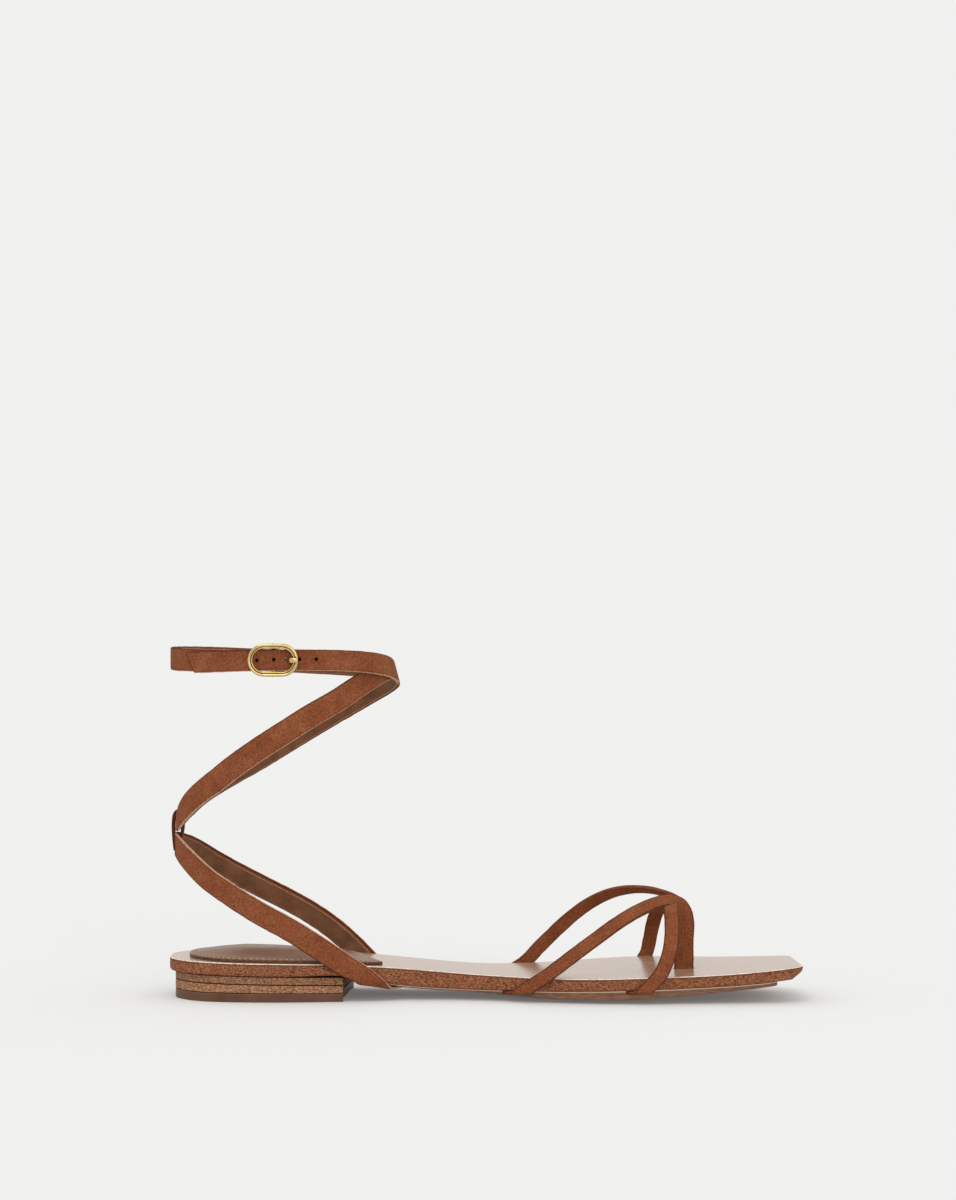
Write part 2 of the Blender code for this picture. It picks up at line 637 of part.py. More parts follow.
def part_of_outline(x_from, x_to, pitch=5.0):
    """The edges between two places along the shoe, with sections square to X."""
    medial, lateral = outline_sections(2.0)
    xs = [x_from]
    while xs[-1] + pitch < x_to - 0.3 * pitch:
        xs.append(xs[-1] + pitch)
    xs.append(x_to)
    return (
        np.array([(x, np.interp(x, medial[:, 0], medial[:, 1])) for x in xs]),
        np.array([(x, np.interp(x, lateral[:, 0], lateral[:, 1])) for x in xs]),
    )


def make_outsole(made_of):
    """Thin at the waist. Its underside is a little hollow of the floor at the
    sides and has the flat spot that the forefoot stands on."""
    medial, lateral = part_of_outline(OUTSOLE_REAR, OUTSOLE_FRONT, 5.4)
    # Sides only are inset: the ends stay where they are, with rounded corners.
    medial = medial + (0, OUTSOLE_INSET)
    lateral = lateral - (0, OUTSOLE_INSET)
    medial[-1] += (0.0, 3.0)
    medial[-2] += (0.0, 0.4)
    lateral[-1] += (-2.0, -1.6)
    stations = []
    for (mx, my), (lx, ly) in zip(medial, lateral):
        flat_m = my + (FLAT_MEDIAL - my) * 1.0
        flat_l = ly + (FLAT_LATERAL - ly) * 1.0
        half = (ly - my) / 2
        flat_m = max(FLAT_MEDIAL, my + 0.55 * half)
        flat_l = min(FLAT_LATERAL, ly - 0.55 * half)
        bottom = []
        for x, y, column, share in (
            (mx, my, "bilge", 0.0),
            (mx, my + 0.5 * (flat_m - my), "both", 0.42),
            (mx, flat_m, "keel", 1.0),
            (lx, flat_l, "keel", 1.0),
            (lx, ly - 0.5 * (ly - flat_l), "both", 0.42),
            (lx, ly, "bilge", 0.0),
        ):
            low, side = height("keel", x), height("bilge", x)
            z = {"bilge": side, "keel": low, "both": side + (low - side) * 0.62}[column]
            if column != "bilge" and z < 0.02:
                z = 0.0
            bottom.append((x, y, z))
        top = [(mx, my, height("under", mx) - GAP), (lx, ly, height("under", lx) - GAP)]
        stations.append(bottom + top[::-1])
    n = len(stations[0])
    vertices = [p for station in stations for p in station]
    faces = []
    for i in range(len(stations) - 1):
        for k in range(n):
            a, b = i * n + k, i * n + (k + 1) % n
            faces.append((a, b, b + n, a + n))
    faces.append(tuple(range(n)))
    faces.append(tuple((len(stations) - 1) * n + k for k in range(n)))
    return new_object("outsole", vertices, faces, made_of)


def heel_outline():
    """Round the back from the breast's medial end to its lateral end."""
    medial, lateral = outline_sections(3.0)
    inset = np.array([HEEL_INSET_REAR] * 0 or [0.0] * (2 * len(medial)))
    loop_x = np.concatenate([medial[:, 0], lateral[::-1, 0]])
    for i, x in enumerate(loop_x):
        inset[i] = HEEL_INSET_SIDE + (HEEL_INSET_REAR - HEEL_INSET_SIDE) * ease((-105 - x) / 16)
    medial, lateral = moved_inward(medial, lateral, inset)
    y_m = float(np.interp(BREAST_MEDIAL, medial[:, 0], medial[:, 1]))
    y_l = float(np.interp(BREAST_LATERAL, lateral[:, 0], lateral[:, 1]))
    outline = [(BREAST_MEDIAL, y_m)]
    outline += [tuple(p) for p in medial[::-1] if p[0] < BREAST_MEDIAL - 1.5]
    outline += [tuple(p) for p in lateral if p[0] < BREAST_LATERAL - 1.5]
    outline += [(BREAST_LATERAL, y_l)]
    for k in range(1, 8):  # the breast, slightly hollow
        t = k / 8
        x = BREAST_LATERAL + (BREAST_MEDIAL - BREAST_LATERAL) * t - BREAST_HOLLOW * 4 * t * (1 - t)
        outline.append((x, y_l + (y_m - y_l) * t))
    return outline


def make_heel_layer(row, made_of):
    values = dict(zip(LAYER_COLUMNS, row))
    outline = heel_outline()
    n = len(outline)
    back, breast = -120.0, -50.0

    def plane(which, x):
        t = (x - back) / (breast - back)
        return values[which + "_back"] + (values[which + "_breast"] - values[which + "_back"]) * t

    vertices = [(x, y, plane("top", x)) for x, y in outline]
    vertices += [(x, y, plane("under", x)) for x, y in outline]
    faces = [tuple(range(n)), tuple(range(n, 2 * n))]
    faces += [(i, (i + 1) % n, n + (i + 1) % n, n + i) for i in range(n)]
    return new_object(values["name"], vertices, faces, made_of)


def make_heel_pad(made_of):
    """Crowned sock on the seat, its front edge cut on a slant."""
    medial, lateral = outline_sections(2.0)
    rows = []
    count = 15
    for i in range(count):
        t = i / (count - 1)
        # Sections crowd towards the rounded ends.
        u = 0.5 - 0.5 * math.cos(math.pi * t)
        xm = PAD_REAR + (PAD_FRONT_MEDIAL - PAD_REAR) * u
        xl = PAD_REAR + (PAD_FRONT_LATERAL - PAD_REAR) * u
        ym = float(np.interp(xm, medial[:, 0], medial[:, 1])) + PAD_MARGIN
        yl = float(np.interp(xl, lateral[:, 0], lateral[:, 1])) - PAD_MARGIN
        # Round the corners at both ends.
        rear = min(1.0, (xm - PAD_REAR) / 24.0)
        front = ease((PAD_FRONT_MEDIAL - xm) / 9.0)
        pull = 1 - math.sqrt(max(0.0, 1 - (1 - rear) ** 2))
        pull_front = 1 - math.sqrt(max(0.0, 1 - (1 - front) ** 2))
        ym += 13.0 * pull + 4.5 * pull_front
        yl -= 13.0 * pull + 5.5 * pull_front
        rows.append((xm, ym, xl, yl, u))
    across = (0.0, 0.06, 0.18, 0.34, 0.5, 0.66, 0.82, 0.94, 1.0)
    n = len(across)
    vertices, faces = [], []
    for layer in (0, 1):
        for xm, ym, xl, yl, u in rows:
            for s in across:
                x, y = xm + (xl - xm) * s, ym + (yl - ym) * s
                base = height("seat", x) + GAP
                if layer == 0:
                    vertices.append((x, y, base))
                    continue
                side = ease(min(s, 1 - s) / 0.42)
                crown = float(np.interp(x, [row[0] for row in CROWN], [row[1] for row in CROWN]))
                vertices.append((x, y, base + PAD_EDGE + crown * side))
    top = len(rows) * n
    for i in range(len(rows) - 1):
        for k in range(n - 1):
            a = i * n + k
            faces.append((a, a + 1, a + n + 1, a + n))
            faces.append((top + a, top + a + 1, top + a + n + 1, top + a + n))
    rim = [(i, 0) for i in range(len(rows))] + [(len(rows) - 1, k) for k in range(1, n)]
    rim += [(i, n - 1) for i in range(len(rows) - 2, -1, -1)] + [(0, k) for k in range(n - 2, 0, -1)]
    for (i, k), (j, m) in zip(rim, rim[1:] + rim[:1]):
        a, b = i * n + k, j * n + m
        faces.append((a, b, top + b, top + a))
    return new_object("heel_pad", vertices, faces, made_of)


# --- straps -----------------------------------------------------------------
def make_strap(name, rows, thickness, made_of, pitch, start=None, end=None, keep=True):
    return sweep(name, strap_frames(rows, thickness, pitch, start, end), made_of, keep)


def make_recess(name, thickness, made_of):
    """What the folded end of a strap takes out of the sole, gap and all."""
    at = foot(name, thickness)
    across = np.array(at["tangent"]) / math.sin(math.radians(at["slope"]))
    frames = [(at["place"], across, at["outward"], section_points(at["w"] + 2 * GAP, thickness + 2 * GAP))]
    return sweep("recess_" + name, frames + fold_frames(at, across, thickness, GAP), made_of, keep=False)


def oval_point(turn, z, out):
    angle = math.radians(turn)
    return np.array((
        OVAL_X - (OVAL_LONG + out) * math.cos(angle),
        -(OVAL_WIDE + out) * math.sin(angle),
        z,
    ))


def oval_normal(turn):
    angle = math.radians(turn)
    return unit(np.array((-math.cos(angle) / OVAL_LONG, -math.sin(angle) / OVAL_WIDE, 0.0)))


def ankle_rows():
    """Ribbon rows of the whole strap, from its free tip to the end of the fold
    that is stitched down behind the buckle's bar."""
    rows = np.array(WIND)
    fine = smooth_rows(rows, np.diff(rows[:, 0]), TURN_STEP)
    out = []
    for turn, z, off, lean, w in fine:
        x, y, z = oval_point(turn, z, off)
        nx, ny, nz = oval_normal(turn)
        out.append((x, y, z, nx, ny, nz + lean, w))
    # Round the bar and back on the inside of the same strap.
    half = ANKLE_STRAP / 2
    reach = BAR_WIRE + GAP + half
    w = 8.2
    for degrees in (-90, -50, -10, 30, 70, 90):
        a = math.radians(degrees)
        out.append((
            BUCKLE_X + reach * math.cos(a), BAR_Y + reach * math.sin(a), BUCKLE_Z,
            math.cos(a), math.sin(a), 0.0, w,
        ))
    for share in (0.35, 0.7, 1.0):
        x = BUCKLE_X - FOLD_LENGTH * share
        # Stay just inside the outer ply.
        outer = -(OVAL_WIDE) * math.sqrt(1 - ((x - OVAL_X) / OVAL_LONG) ** 2)
        y = max(outer + ANKLE_STRAP + 0.4, BAR_Y + reach - 0.9 * share)
        out.append((x, y, BUCKLE_Z - 0.3 * share, 0.06, 1.0, 0.0, w))
    return np.array(out)


def make_ankle_strap(made_of):
    fine = ankle_rows()
    frames = ribbon_frames(fine, ANKLE_STRAP)
    # The free tip is cut on a slant: its lower corner is further forward.
    centre, across, out, section = frames[0]
    along = unit(fine[1][:3] - fine[0][:3])
    slant = FREE_TIP_SLANT / fine[0][6]
    lower = 1.0 if across[2] < 0 else -1.0
    vertices = []
    obj = sweep("ankle_strap", frames, made_of)
    for k, (u, v) in enumerate(section):
        shift = along * (lower * u * slant)
        obj.data.vertices[k].co += type(obj.data.vertices[k].co)(tuple(shift * MM))
    hole = rod(
        "prong_hole", [(PRONG_HOLE_X, -34.0, BUCKLE_Z), (PRONG_HOLE_X, -31.0, BUCKLE_Z + 0.001), (PRONG_HOLE_X, -28.4, BUCKLE_Z)],
        PRONG_HOLE_R, made_of, sides=12, keep=False,
    )
    slot = box_cutter(
        "fold_slot", made_of,
        (BUCKLE_X - 3.2, BAR_Y - 2.6, BUCKLE_Z - 1.1), (BUCKLE_X + 4.0, BAR_Y + 3.2, BUCKLE_Z + 1.1),
    )
    boolean(obj, "DIFFERENCE", hole, slot)
    return obj


def box_cutter(name, made_of, low, high):
    (x0, y0, z0), (x1, y1, z1) = low, high
    vertices = [(x, y, z) for z in (z0, z1) for x, y in ((x0, y0), (x1, y0), (x1, y1), (x0, y1))]
    faces = [(3, 2, 1, 0), (4, 5, 6, 7), (0, 1, 5, 4), (1, 2, 6, 5), (2, 3, 7, 6), (3, 0, 4, 7)]
    return new_object(name, vertices, faces, made_of, keep=False)


# --- buckle -----------------------------------------------------------------
def make_buckle_frame(made_of):
    radius = BUCKLE_HEIGHT / 2 - FRAME_WIRE
    straight = (BUCKLE_LENGTH - BUCKLE_HEIGHT) / 2
    path = []
    for side in (1, -1):
        for k in range(10):
            a = math.radians(-90 + 20 * k)
            path.append((
                BUCKLE_X + side * (straight + radius * math.cos(a)), FRAME_Y,
                BUCKLE_Z + side * radius * math.sin(a),
            ))
    frame = rod("buckle_frame", path, FRAME_WIRE, made_of, closed=True, squash=0.85)
    bar_path = rounded_path(
        [
            (BUCKLE_X, FRAME_Y, BUCKLE_Z + radius),
            (BUCKLE_X, BAR_Y, BUCKLE_Z + radius),
            (BUCKLE_X, BAR_Y, BUCKLE_Z - radius),
            (BUCKLE_X, FRAME_Y, BUCKLE_Z - radius),
        ],
        0.9,
    )
    bar = rod("centre_bar", bar_path, BAR_WIRE, made_of, keep=False)
    boolean(frame, "UNION", bar)
    return frame


def make_prong(made_of):
    path = []
    for degrees in range(-35, 271, 34):
        a = math.radians(degrees)
        path.append((BUCKLE_X + EYE_RADIUS * math.cos(a), BAR_Y + EYE_RADIUS * math.sin(a), BUCKLE_Z))
    tail = [
        (BUCKLE_X + 1.0, BAR_Y - EYE_RADIUS), (BUCKLE_X + 3.4, BAR_Y - EYE_RADIUS - 0.1), (BUCKLE_X + 4.6, BAR_Y - EYE_RADIUS - 0.6),
        (BUCKLE_X + 5.2, -29.9), (BUCKLE_X + 5.6, -31.2), (BUCKLE_X + 6.3, -32.7),
        (BUCKLE_X + 7.2, -33.9), (BUCKLE_X + 8.6, -34.3), (BUCKLE_X + 9.7, -34.25),
    ]
    path += [(x, y, BUCKLE_Z) for x, y in tail]
    return rod("buckle_prong", path, PRONG_WIRE, made_of)


# --- all --------------------------------------------------------------------
def main():
    for obj in list(bpy.data.objects):
        bpy.data.objects.remove(obj, do_unlink=True)

    board_leather = material("board_leather", (0.66, 0.55, 0.47), 0.35)
    outsole_leather = material("outsole_leather", (0.27, 0.14, 0.08), 0.5)
    lift_leather = material("lift_leather", (0.34, 0.17, 0.09), 0.75)
    top_piece_rubber = material("top_piece_rubber", (0.16, 0.07, 0.04), 0.55)
    pad_leather = material("pad_leather", (0.27, 0.16, 0.10), 0.35)
    suede = material("suede", (0.27, 0.09, 0.035), 0.9)
    brass = material("brass", (0.60, 0.40, 0.15), 0.3, 1.0)

    board = make_board(board_leather)
    outsole = make_outsole(outsole_leather)
    for row in LAYERS:
        make_heel_layer(row, top_piece_rubber if row[0] == "heel_top_piece" else lift_leather)
    make_heel_pad(pad_leather)

    EDGES[-1], EDGES[1] = outline_sections(2.0)
    straps = make_strap("toe_straps", THONG_MEDIAL, TOE_STRAP, suede, TOE_PITCH, start="thong_medial")
    thong_lateral = make_strap(
        "thong_lateral", THONG_LATERAL, TOE_STRAP, suede, TOE_PITCH, start="thong_lateral", keep=False
    )
    arch = make_strap("arch", ARCH, TOE_STRAP, suede, TOE_PITCH, "arch_medial", "arch_lateral", keep=False)
    boolean(straps, "UNION", thong_lateral, arch)

    heel_strap = make_strap("heel_strap", HEEL_BAND, HEEL_STRAP, suede, HEEL_PITCH, "heel_medial", "heel_lateral")
    tab = make_strap("tab", TAB, TAB_THICKNESS, suede, 2.6, keep=False)
    boolean(heel_strap, "UNION", tab)

    # Room for what goes under the board: recesses in the outsole, a slot in the board.
    recesses = [make_recess(row[0], HEEL_STRAP if row[0][:4] == "heel" else TOE_STRAP, suede) for row in FEET]
    boolean(outsole, "DIFFERENCE", *recesses)
    post_x, post_y = THONG_MEDIAL[-1][0], (THONG_MEDIAL[-1][1] + THONG_LATERAL[-1][1]) / 2
    slot = box_cutter(
        "post_slot", board_leather,
        (post_x - 3.8 - GAP, post_y - 1.6 - GAP, 2.0), (post_x + 3.8 + GAP, post_y + 1.6 + GAP, 15.0),
    )
    boolean(board, "DIFFERENCE", slot)

    make_ankle_strap(suede)
    make_buckle_frame(brass)
    make_prong(brass)

    # Everything into place: the origin at the middle of the footprint.
    bpy.context.view_layer.update()
    low, high = np.full(3, 1e9), np.full(3, -1e9)
    graph = bpy.context.evaluated_depsgraph_get()
    for obj in bpy.data.objects:
        if not obj.hide_render:
            points = np.array([v.co for v in obj.evaluated_get(graph).data.vertices])
            low, high = np.minimum(low, points.min(axis=0)), np.maximum(high, points.max(axis=0))
    shift = (low + high) / 2
    print("footprint middle (mm):", shift[0] / MM, shift[1] / MM, "size:", (high - low) / MM)
    for obj in bpy.data.objects:
        for v in obj.data.vertices:
            v.co.x -= shift[0]
            v.co.y -= shift[1]
        obj.data.shade_smooth()
        obj.data.set_sharp_from_angle(angle=math.radians(40))


main()
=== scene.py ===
"""Looks of the flat ankle strap sandal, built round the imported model.

Every piece follows the same tables as the CAD solids, with finer sections,
turned edges, linings, stitches and punched holes. Drawn in millimetres in the
shoe's own frame and moved into the row frame by new_mesh.
"""

import math

import bmesh
import bpy
import numpy as np
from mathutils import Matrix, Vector, noise


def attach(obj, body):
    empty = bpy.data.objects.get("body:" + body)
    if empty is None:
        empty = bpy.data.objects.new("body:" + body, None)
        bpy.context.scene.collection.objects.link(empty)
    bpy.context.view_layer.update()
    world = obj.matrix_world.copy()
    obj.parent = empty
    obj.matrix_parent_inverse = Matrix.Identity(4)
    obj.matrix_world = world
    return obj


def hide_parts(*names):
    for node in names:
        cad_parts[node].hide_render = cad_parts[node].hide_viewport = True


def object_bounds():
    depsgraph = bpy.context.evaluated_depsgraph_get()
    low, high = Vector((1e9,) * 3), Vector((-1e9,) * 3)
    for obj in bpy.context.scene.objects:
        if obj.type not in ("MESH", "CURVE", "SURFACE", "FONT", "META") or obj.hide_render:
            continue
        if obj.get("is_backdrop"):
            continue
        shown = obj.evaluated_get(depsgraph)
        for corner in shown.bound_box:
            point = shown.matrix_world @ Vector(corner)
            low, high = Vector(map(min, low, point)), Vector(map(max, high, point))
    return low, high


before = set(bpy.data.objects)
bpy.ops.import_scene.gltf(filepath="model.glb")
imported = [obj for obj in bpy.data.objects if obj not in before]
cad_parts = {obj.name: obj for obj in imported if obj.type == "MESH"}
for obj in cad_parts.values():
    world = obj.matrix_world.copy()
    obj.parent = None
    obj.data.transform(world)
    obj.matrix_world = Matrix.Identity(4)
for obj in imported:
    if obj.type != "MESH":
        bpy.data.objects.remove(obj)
CAD_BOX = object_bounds()

MM = 0.001
GAP = 0.3  # air between neighbouring pieces
SHIFT = (2.5, 5.07)  # middle of the footprint in the shoe's frame

# --- sole -------------------------------------------------------------------
# Outline of the board: one row per section, both ends of the section line.
OUTLINE_COLUMNS = ("medial_x", "medial_y", "lateral_x", "lateral_y")
OUTLINE = (
    (-121.4, -4.0, -121.4, 5.0),
    (-120.4, -9.5, -120.4, 10.5),
    (-118.2, -14.2, -118.2, 15.2),
    (-114.8, -18.6, -114.8, 19.6),
    (-109.5, -22.6, -109.5, 23.4),
    (-102.0, -25.6, -102.0, 26.0),
    (-92.0, -27.5, -92.0, 27.5),
    (-78.0, -28.0, -78.0, 28.0),
    (-65.0, -27.0, -65.0, 27.4),
    (-53.0, -25.4, -53.0, 26.3),
    (-44.0, -23.8, -44.0, 25.1),
    (-36.0, -21.6, -36.0, 24.0),
    (-27.0, -20.0, -27.0, 22.9),
    (-16.0, -19.6, -16.0, 21.9),
    (-5.0, -20.4, -5.0, 21.3),
    (5.0, -22.6, 5.0, 22.2),
    (14.0, -25.6, 14.0, 25.0),
    (23.0, -28.8, 23.0, 29.0),
    (32.0, -31.4, 32.0, 34.2),
    (42.0, -33.6, 42.0, 40.0),
    (52.0, -34.8, 52.0, 44.2),
    (62.0, -35.1, 62.0, 45.8),
    (72.0, -34.9, 72.0, 44.6),
    (82.0, -34.4, 82.0, 41.0),
    (92.0, -33.8, 92.0, 35.9),
    (102.0, -33.2, 102.0, 30.0),
    (112.0, -32.7, 111.5, 23.6),
    (119.0, -32.2, 117.6, 18.6),
    (123.2, -31.0, 121.4, 15.4),
    (125.4, -28.8, 123.6, 12.6),
    (126.4, -25.6, 124.5, 9.6),
)

# Heights along the shoe: top of the board, its underside, the lowest line of
# the outsole and the height of the outsole's lower side edge.
PROFILE_COLUMNS = ("x", "seat", "under", "keel", "bilge")
PROFILE = (
    (-122.0, 15.9, 10.8, 9.6, 10.2),
    (-95.0, 15.4, 10.4, 9.2, 9.8),
    (-75.0, 15.1, 10.1, 8.9, 9.5),
    (-49.0, 14.35, 9.66, 8.1, 8.6),
    (-42.0, 13.85, 8.25, 6.6, 7.1),
    (-30.0, 12.85, 6.2, 4.4, 5.1),
    (-15.0, 11.55, 4.95, 3.2, 3.9),
    (0.0, 10.5, 4.45, 2.3, 3.2),
    (12.0, 10.1, 4.5, 1.1, 2.6),
    (24.0, 9.9, 4.65, 0.35, 2.05),
    (34.0, 9.85, 4.85, 0.0, 1.7),
    (46.0, 10.0, 5.15, 0.0, 1.55),
    (58.0, 10.35, 5.55, 0.0, 1.7),
    (68.0, 10.65, 5.85, 0.55, 2.2),
    (80.0, 11.0, 6.3, 1.8, 3.1),
    (92.0, 11.5, 6.85, 3.15, 4.2),
    (104.0, 12.3, 7.6, 4.6, 5.4),
    (115.0, 13.35, 8.65, 6.1, 6.7),
    (121.0, 14.0, 9.3, 6.9, 7.4),
    (127.0, 14.6, 9.9, 7.7, 8.2),
)
TOE_BEVEL_START = 115.0  # from here the board's underside is pared up to the tip
TOE_BEVEL_LENGTH = 11.6
TOE_TIP_THICKNESS = 1.0

OUTSOLE_INSET = 2.0
OUTSOLE_REAR = -48.6
OUTSOLE_FRONT = 116.4
FLAT_REAR, FLAT_FRONT = 33.0, 59.0  # the forefoot's flat spot
FLAT_MEDIAL, FLAT_LATERAL = -16.0, 20.0

# --- heel -------------------------------------------------------------------
HEEL_INSET_REAR, HEEL_INSET_SIDE = 2.2, 1.2
BREAST_MEDIAL, BREAST_LATERAL, BREAST_HOLLOW = -52.6, -49.8, 1.3
# Each layer: height of its top and underside at the back and at the breast.
LAYER_COLUMNS = ("name", "top_back", "top_breast", "under_back", "under_breast")
LAYERS = (
    ("heel_lift_upper", 10.45, 9.35, 7.55, 6.45),
    ("heel_lift_lower", 7.25, 6.15, 3.75, 3.35),
    ("heel_top_piece", 3.45, 3.05, 0.0, 0.0),
)

# --- heel pad ---------------------------------------------------------------
PAD_MARGIN = 2.3
PAD_REAR = -113.6
PAD_FRONT_MEDIAL, PAD_FRONT_LATERAL = -37.4, -51.5
PAD_EDGE = 1.1
# Height of the crown above the pad's edge, along the shoe.
CROWN_COLUMNS = ("x", "crown")
CROWN = (
    (-114.0, 0.0),
    (-108.0, 1.1),
    (-101.0, 2.2),
    (-92.0, 3.0),
    (-80.0, 2.8),
    (-70.0, 2.2),
    (-60.0, 1.4),
    (-50.0, 0.6),
    (-40.0, 0.1),
    (-37.0, 0.0),
)

# --- straps -----------------------------------------------------------------
# Ribbons: a row per bend. x, y, z is the middle of the strap, nx, ny, nz the
# way its outer face looks, and w its width.
RIBBON_COLUMNS = ("x", "y", "z", "nx", "ny", "nz", "w")
TOE_STRAP = 1.6  # thickness
HEEL_STRAP = 1.6
ANKLE_STRAP = 1.5
TOE_PITCH, HEEL_PITCH = 4.4, 5.4  # spacing of the sections along a strap
BEND = 16.0  # and the turn in degrees that takes one more of them

# Feet: where a strap folds under the board. x is the place along the edge,
# side is -1 medial or 1 lateral, travel is 1 if the strap comes down towards
# the toe and -1 if towards the heel, slope the angle it comes down at, w its
# width, tuck how far it reaches in under the board, and sag how far the fold
# hangs below it, in which case the strap turns past level on its way in.
FEET_COLUMNS = ("name", "x", "side", "travel", "slope", "w", "tuck", "sag", "turned")
FEET = (
    ("thong_medial", 18.8, -1, -1, 35.0, 5.4, 4.5, 0.0, 90),
    ("thong_lateral", 12.9, 1, -1, 43.0, 5.4, 4.5, 0.0, 90),
    ("arch_medial", 65.4, -1, -1, 46.0, 5.4, 4.5, 0.0, 90),
    ("arch_lateral", 66.0, 1, -1, 72.0, 5.4, 4.5, 0.0, 90),
    ("heel_medial", -42.3, -1, 1, 38.0, 7.8, 3.6, 1.0, 104),
    ("heel_lateral", -40.2, 1, 1, 42.0, 8.4, 3.6, 1.2, 110),
)
TUCK = 1.0  # a strap is skived to this where it goes under the board
ROLL = 1.35  # radius of the fold, at the strap's middle
LEVELLING = 11.0  # over this length the sections turn to lie along the edge

THONG_MEDIAL = (
    (25.2, -31.3, 9.9, -0.2, -1.0, 0.05, 5.4),
    (31.8, -32.2, 14.9, -0.05, -1.0, 0.15, 5.4),
    (39.6, -31.8, 20.8, 0.0, -1.0, 0.25, 5.4),
    (47.3, -30.2, 26.3, 0.0, -1.0, 0.4, 5.4),
    (55.2, -27.2, 31.6, 0.0, -1.0, 0.55, 5.4),
    (63.1, -22.6, 35.7, 0.0, -0.95, 0.7, 5.4),
    (70.0, -16.4, 37.9, 0.1, -0.85, 0.8, 5.5),
    (75.6, -10.6, 38.0, 0.2, -0.85, 0.6, 6.0),
    (79.6, -7.4, 35.4, 0.15, -1.0, 0.2, 6.8),
    (81.2, -6.2, 30.6, 0.0, -1.0, 0.0, 7.4),
    (81.1, -5.95, 22.0, 0.0, -1.0, 0.0, 7.5),
    (81.1, -5.95, 6.9, 0.0, -1.0, 0.0, 7.6),
)
THONG_LATERAL = (
    (18.4, 29.2, 9.6, -0.35, 1.0, 0.0, 5.4),
    (25.2, 31.0, 16.3, -0.1, 1.0, 0.15, 5.4),
    (33.1, 29.4, 24.2, 0.0, 1.0, 0.35, 5.4),
    (41.0, 26.0, 31.3, 0.0, 1.0, 0.6, 5.4),
    (48.9, 21.2, 36.6, 0.0, 0.9, 0.8, 5.4),
    (56.7, 15.8, 39.8, 0.0, 0.7, 0.9, 5.4),
    (64.5, 10.4, 40.9, 0.0, 0.6, 1.0, 5.4),
    (72.0, 4.8, 40.2, 0.1, 0.6, 1.0, 5.6),
    (77.6, -0.8, 37.6, 0.3, 0.8, 0.8, 6.2),
    (80.8, -3.7, 33.0, 0.1, 1.0, 0.2, 7.2),
    (81.1, -4.4, 22.0, 0.0, 1.0, 0.0, 7.5),
    (81.1, -4.4, 6.9, 0.0, 1.0, 0.0, 7.6),
)
ARCH = (
    (70.2, -37.1, 11.6, 0.0, -1.0, 0.0, 5.6),
    (73.8, -36.7, 20.0, 0.0, -1.0, 0.15, 5.6),
    (74.9, -34.4, 25.8, 0.0, -1.0, 0.35, 5.6),
    (75.2, -29.6, 31.0, 0.0, -0.85, 0.7, 5.6),
    (75.3, -22.0, 34.6, 0.0, -0.5, 1.0, 5.6),
    (75.8, -12.0, 36.4, 0.0, -0.15, 1.0, 5.6),
    (76.8, -2.0, 37.2, 0.0, 0.0, 1.0, 5.6),
    (77.2, 8.0, 37.3, 0.0, 0.1, 1.0, 5.6),
    (76.6, 18.0, 36.4, 0.0, 0.3, 1.0, 5.6),
    (74.7, 27.6, 33.6, 0.0, 0.6, 1.0, 5.6),
    (72.1, 36.0, 29.2, 0.0, 1.0, 0.7, 5.6),
    (70.6, 42.4, 23.2, 0.0, 1.0, 0.35, 5.6),
    (69.6, 46.4, 16.8, 0.0, 1.0, 0.1, 5.5),
    (68.2, 47.4, 11.2, 0.0, 1.0, 0.0, 5.4),
)
HEEL_BAND = (
    (-51.4, -27.2, 14.5, 0.05, -1.0, 0.0, 8.8),
    (-58.4, -28.4, 19.2, 0.0, -1.0, 0.0, 9.0),
    (-72.3, -29.2, 28.2, 0.0, -1.0, 0.0, 9.0),
    (-86.3, -28.6, 35.9, -0.1, -1.0, 0.0, 9.0),
    (-97.0, -25.8, 42.4, -0.4, -1.0, 0.0, 9.0),
    (-105.3, -21.0, 47.7, -0.6, -1.0, 0.0, 9.0),
    (-112.0, -14.2, 53.2, -0.8, -0.8, 0.0, 9.1),
    (-117.2, -6.4, 58.0, -1.0, -0.4, 0.0, 9.2),
    (-119.0, 0.0, 59.8, -1.0, 0.0, 0.0, 9.2),
    (-117.4, 6.4, 59.4, -1.0, 0.4, 0.0, 8.7),
    (-112.6, 13.8, 56.8, -0.8, 0.8, 0.0, 8.4),
    (-105.6, 20.6, 51.6, -0.6, 1.0, 0.0, 8.6),
    (-96.6, 25.8, 45.8, -0.4, 1.0, 0.0, 8.9),
    (-87.6, 28.4, 40.8, -0.1, 1.0, 0.0, 9.0),
    (-76.2, 29.6, 34.9, 0.0, 1.0, 0.0, 9.0),
    (-67.5, 29.4, 30.0, 0.0, 1.0, 0.0, 9.0),
    (-58.8, 28.8, 24.1, 0.0, 1.0, 0.0, 9.0),
    (-49.6, 27.6, 16.3, -0.05, 1.0, 0.0, 8.8),
)
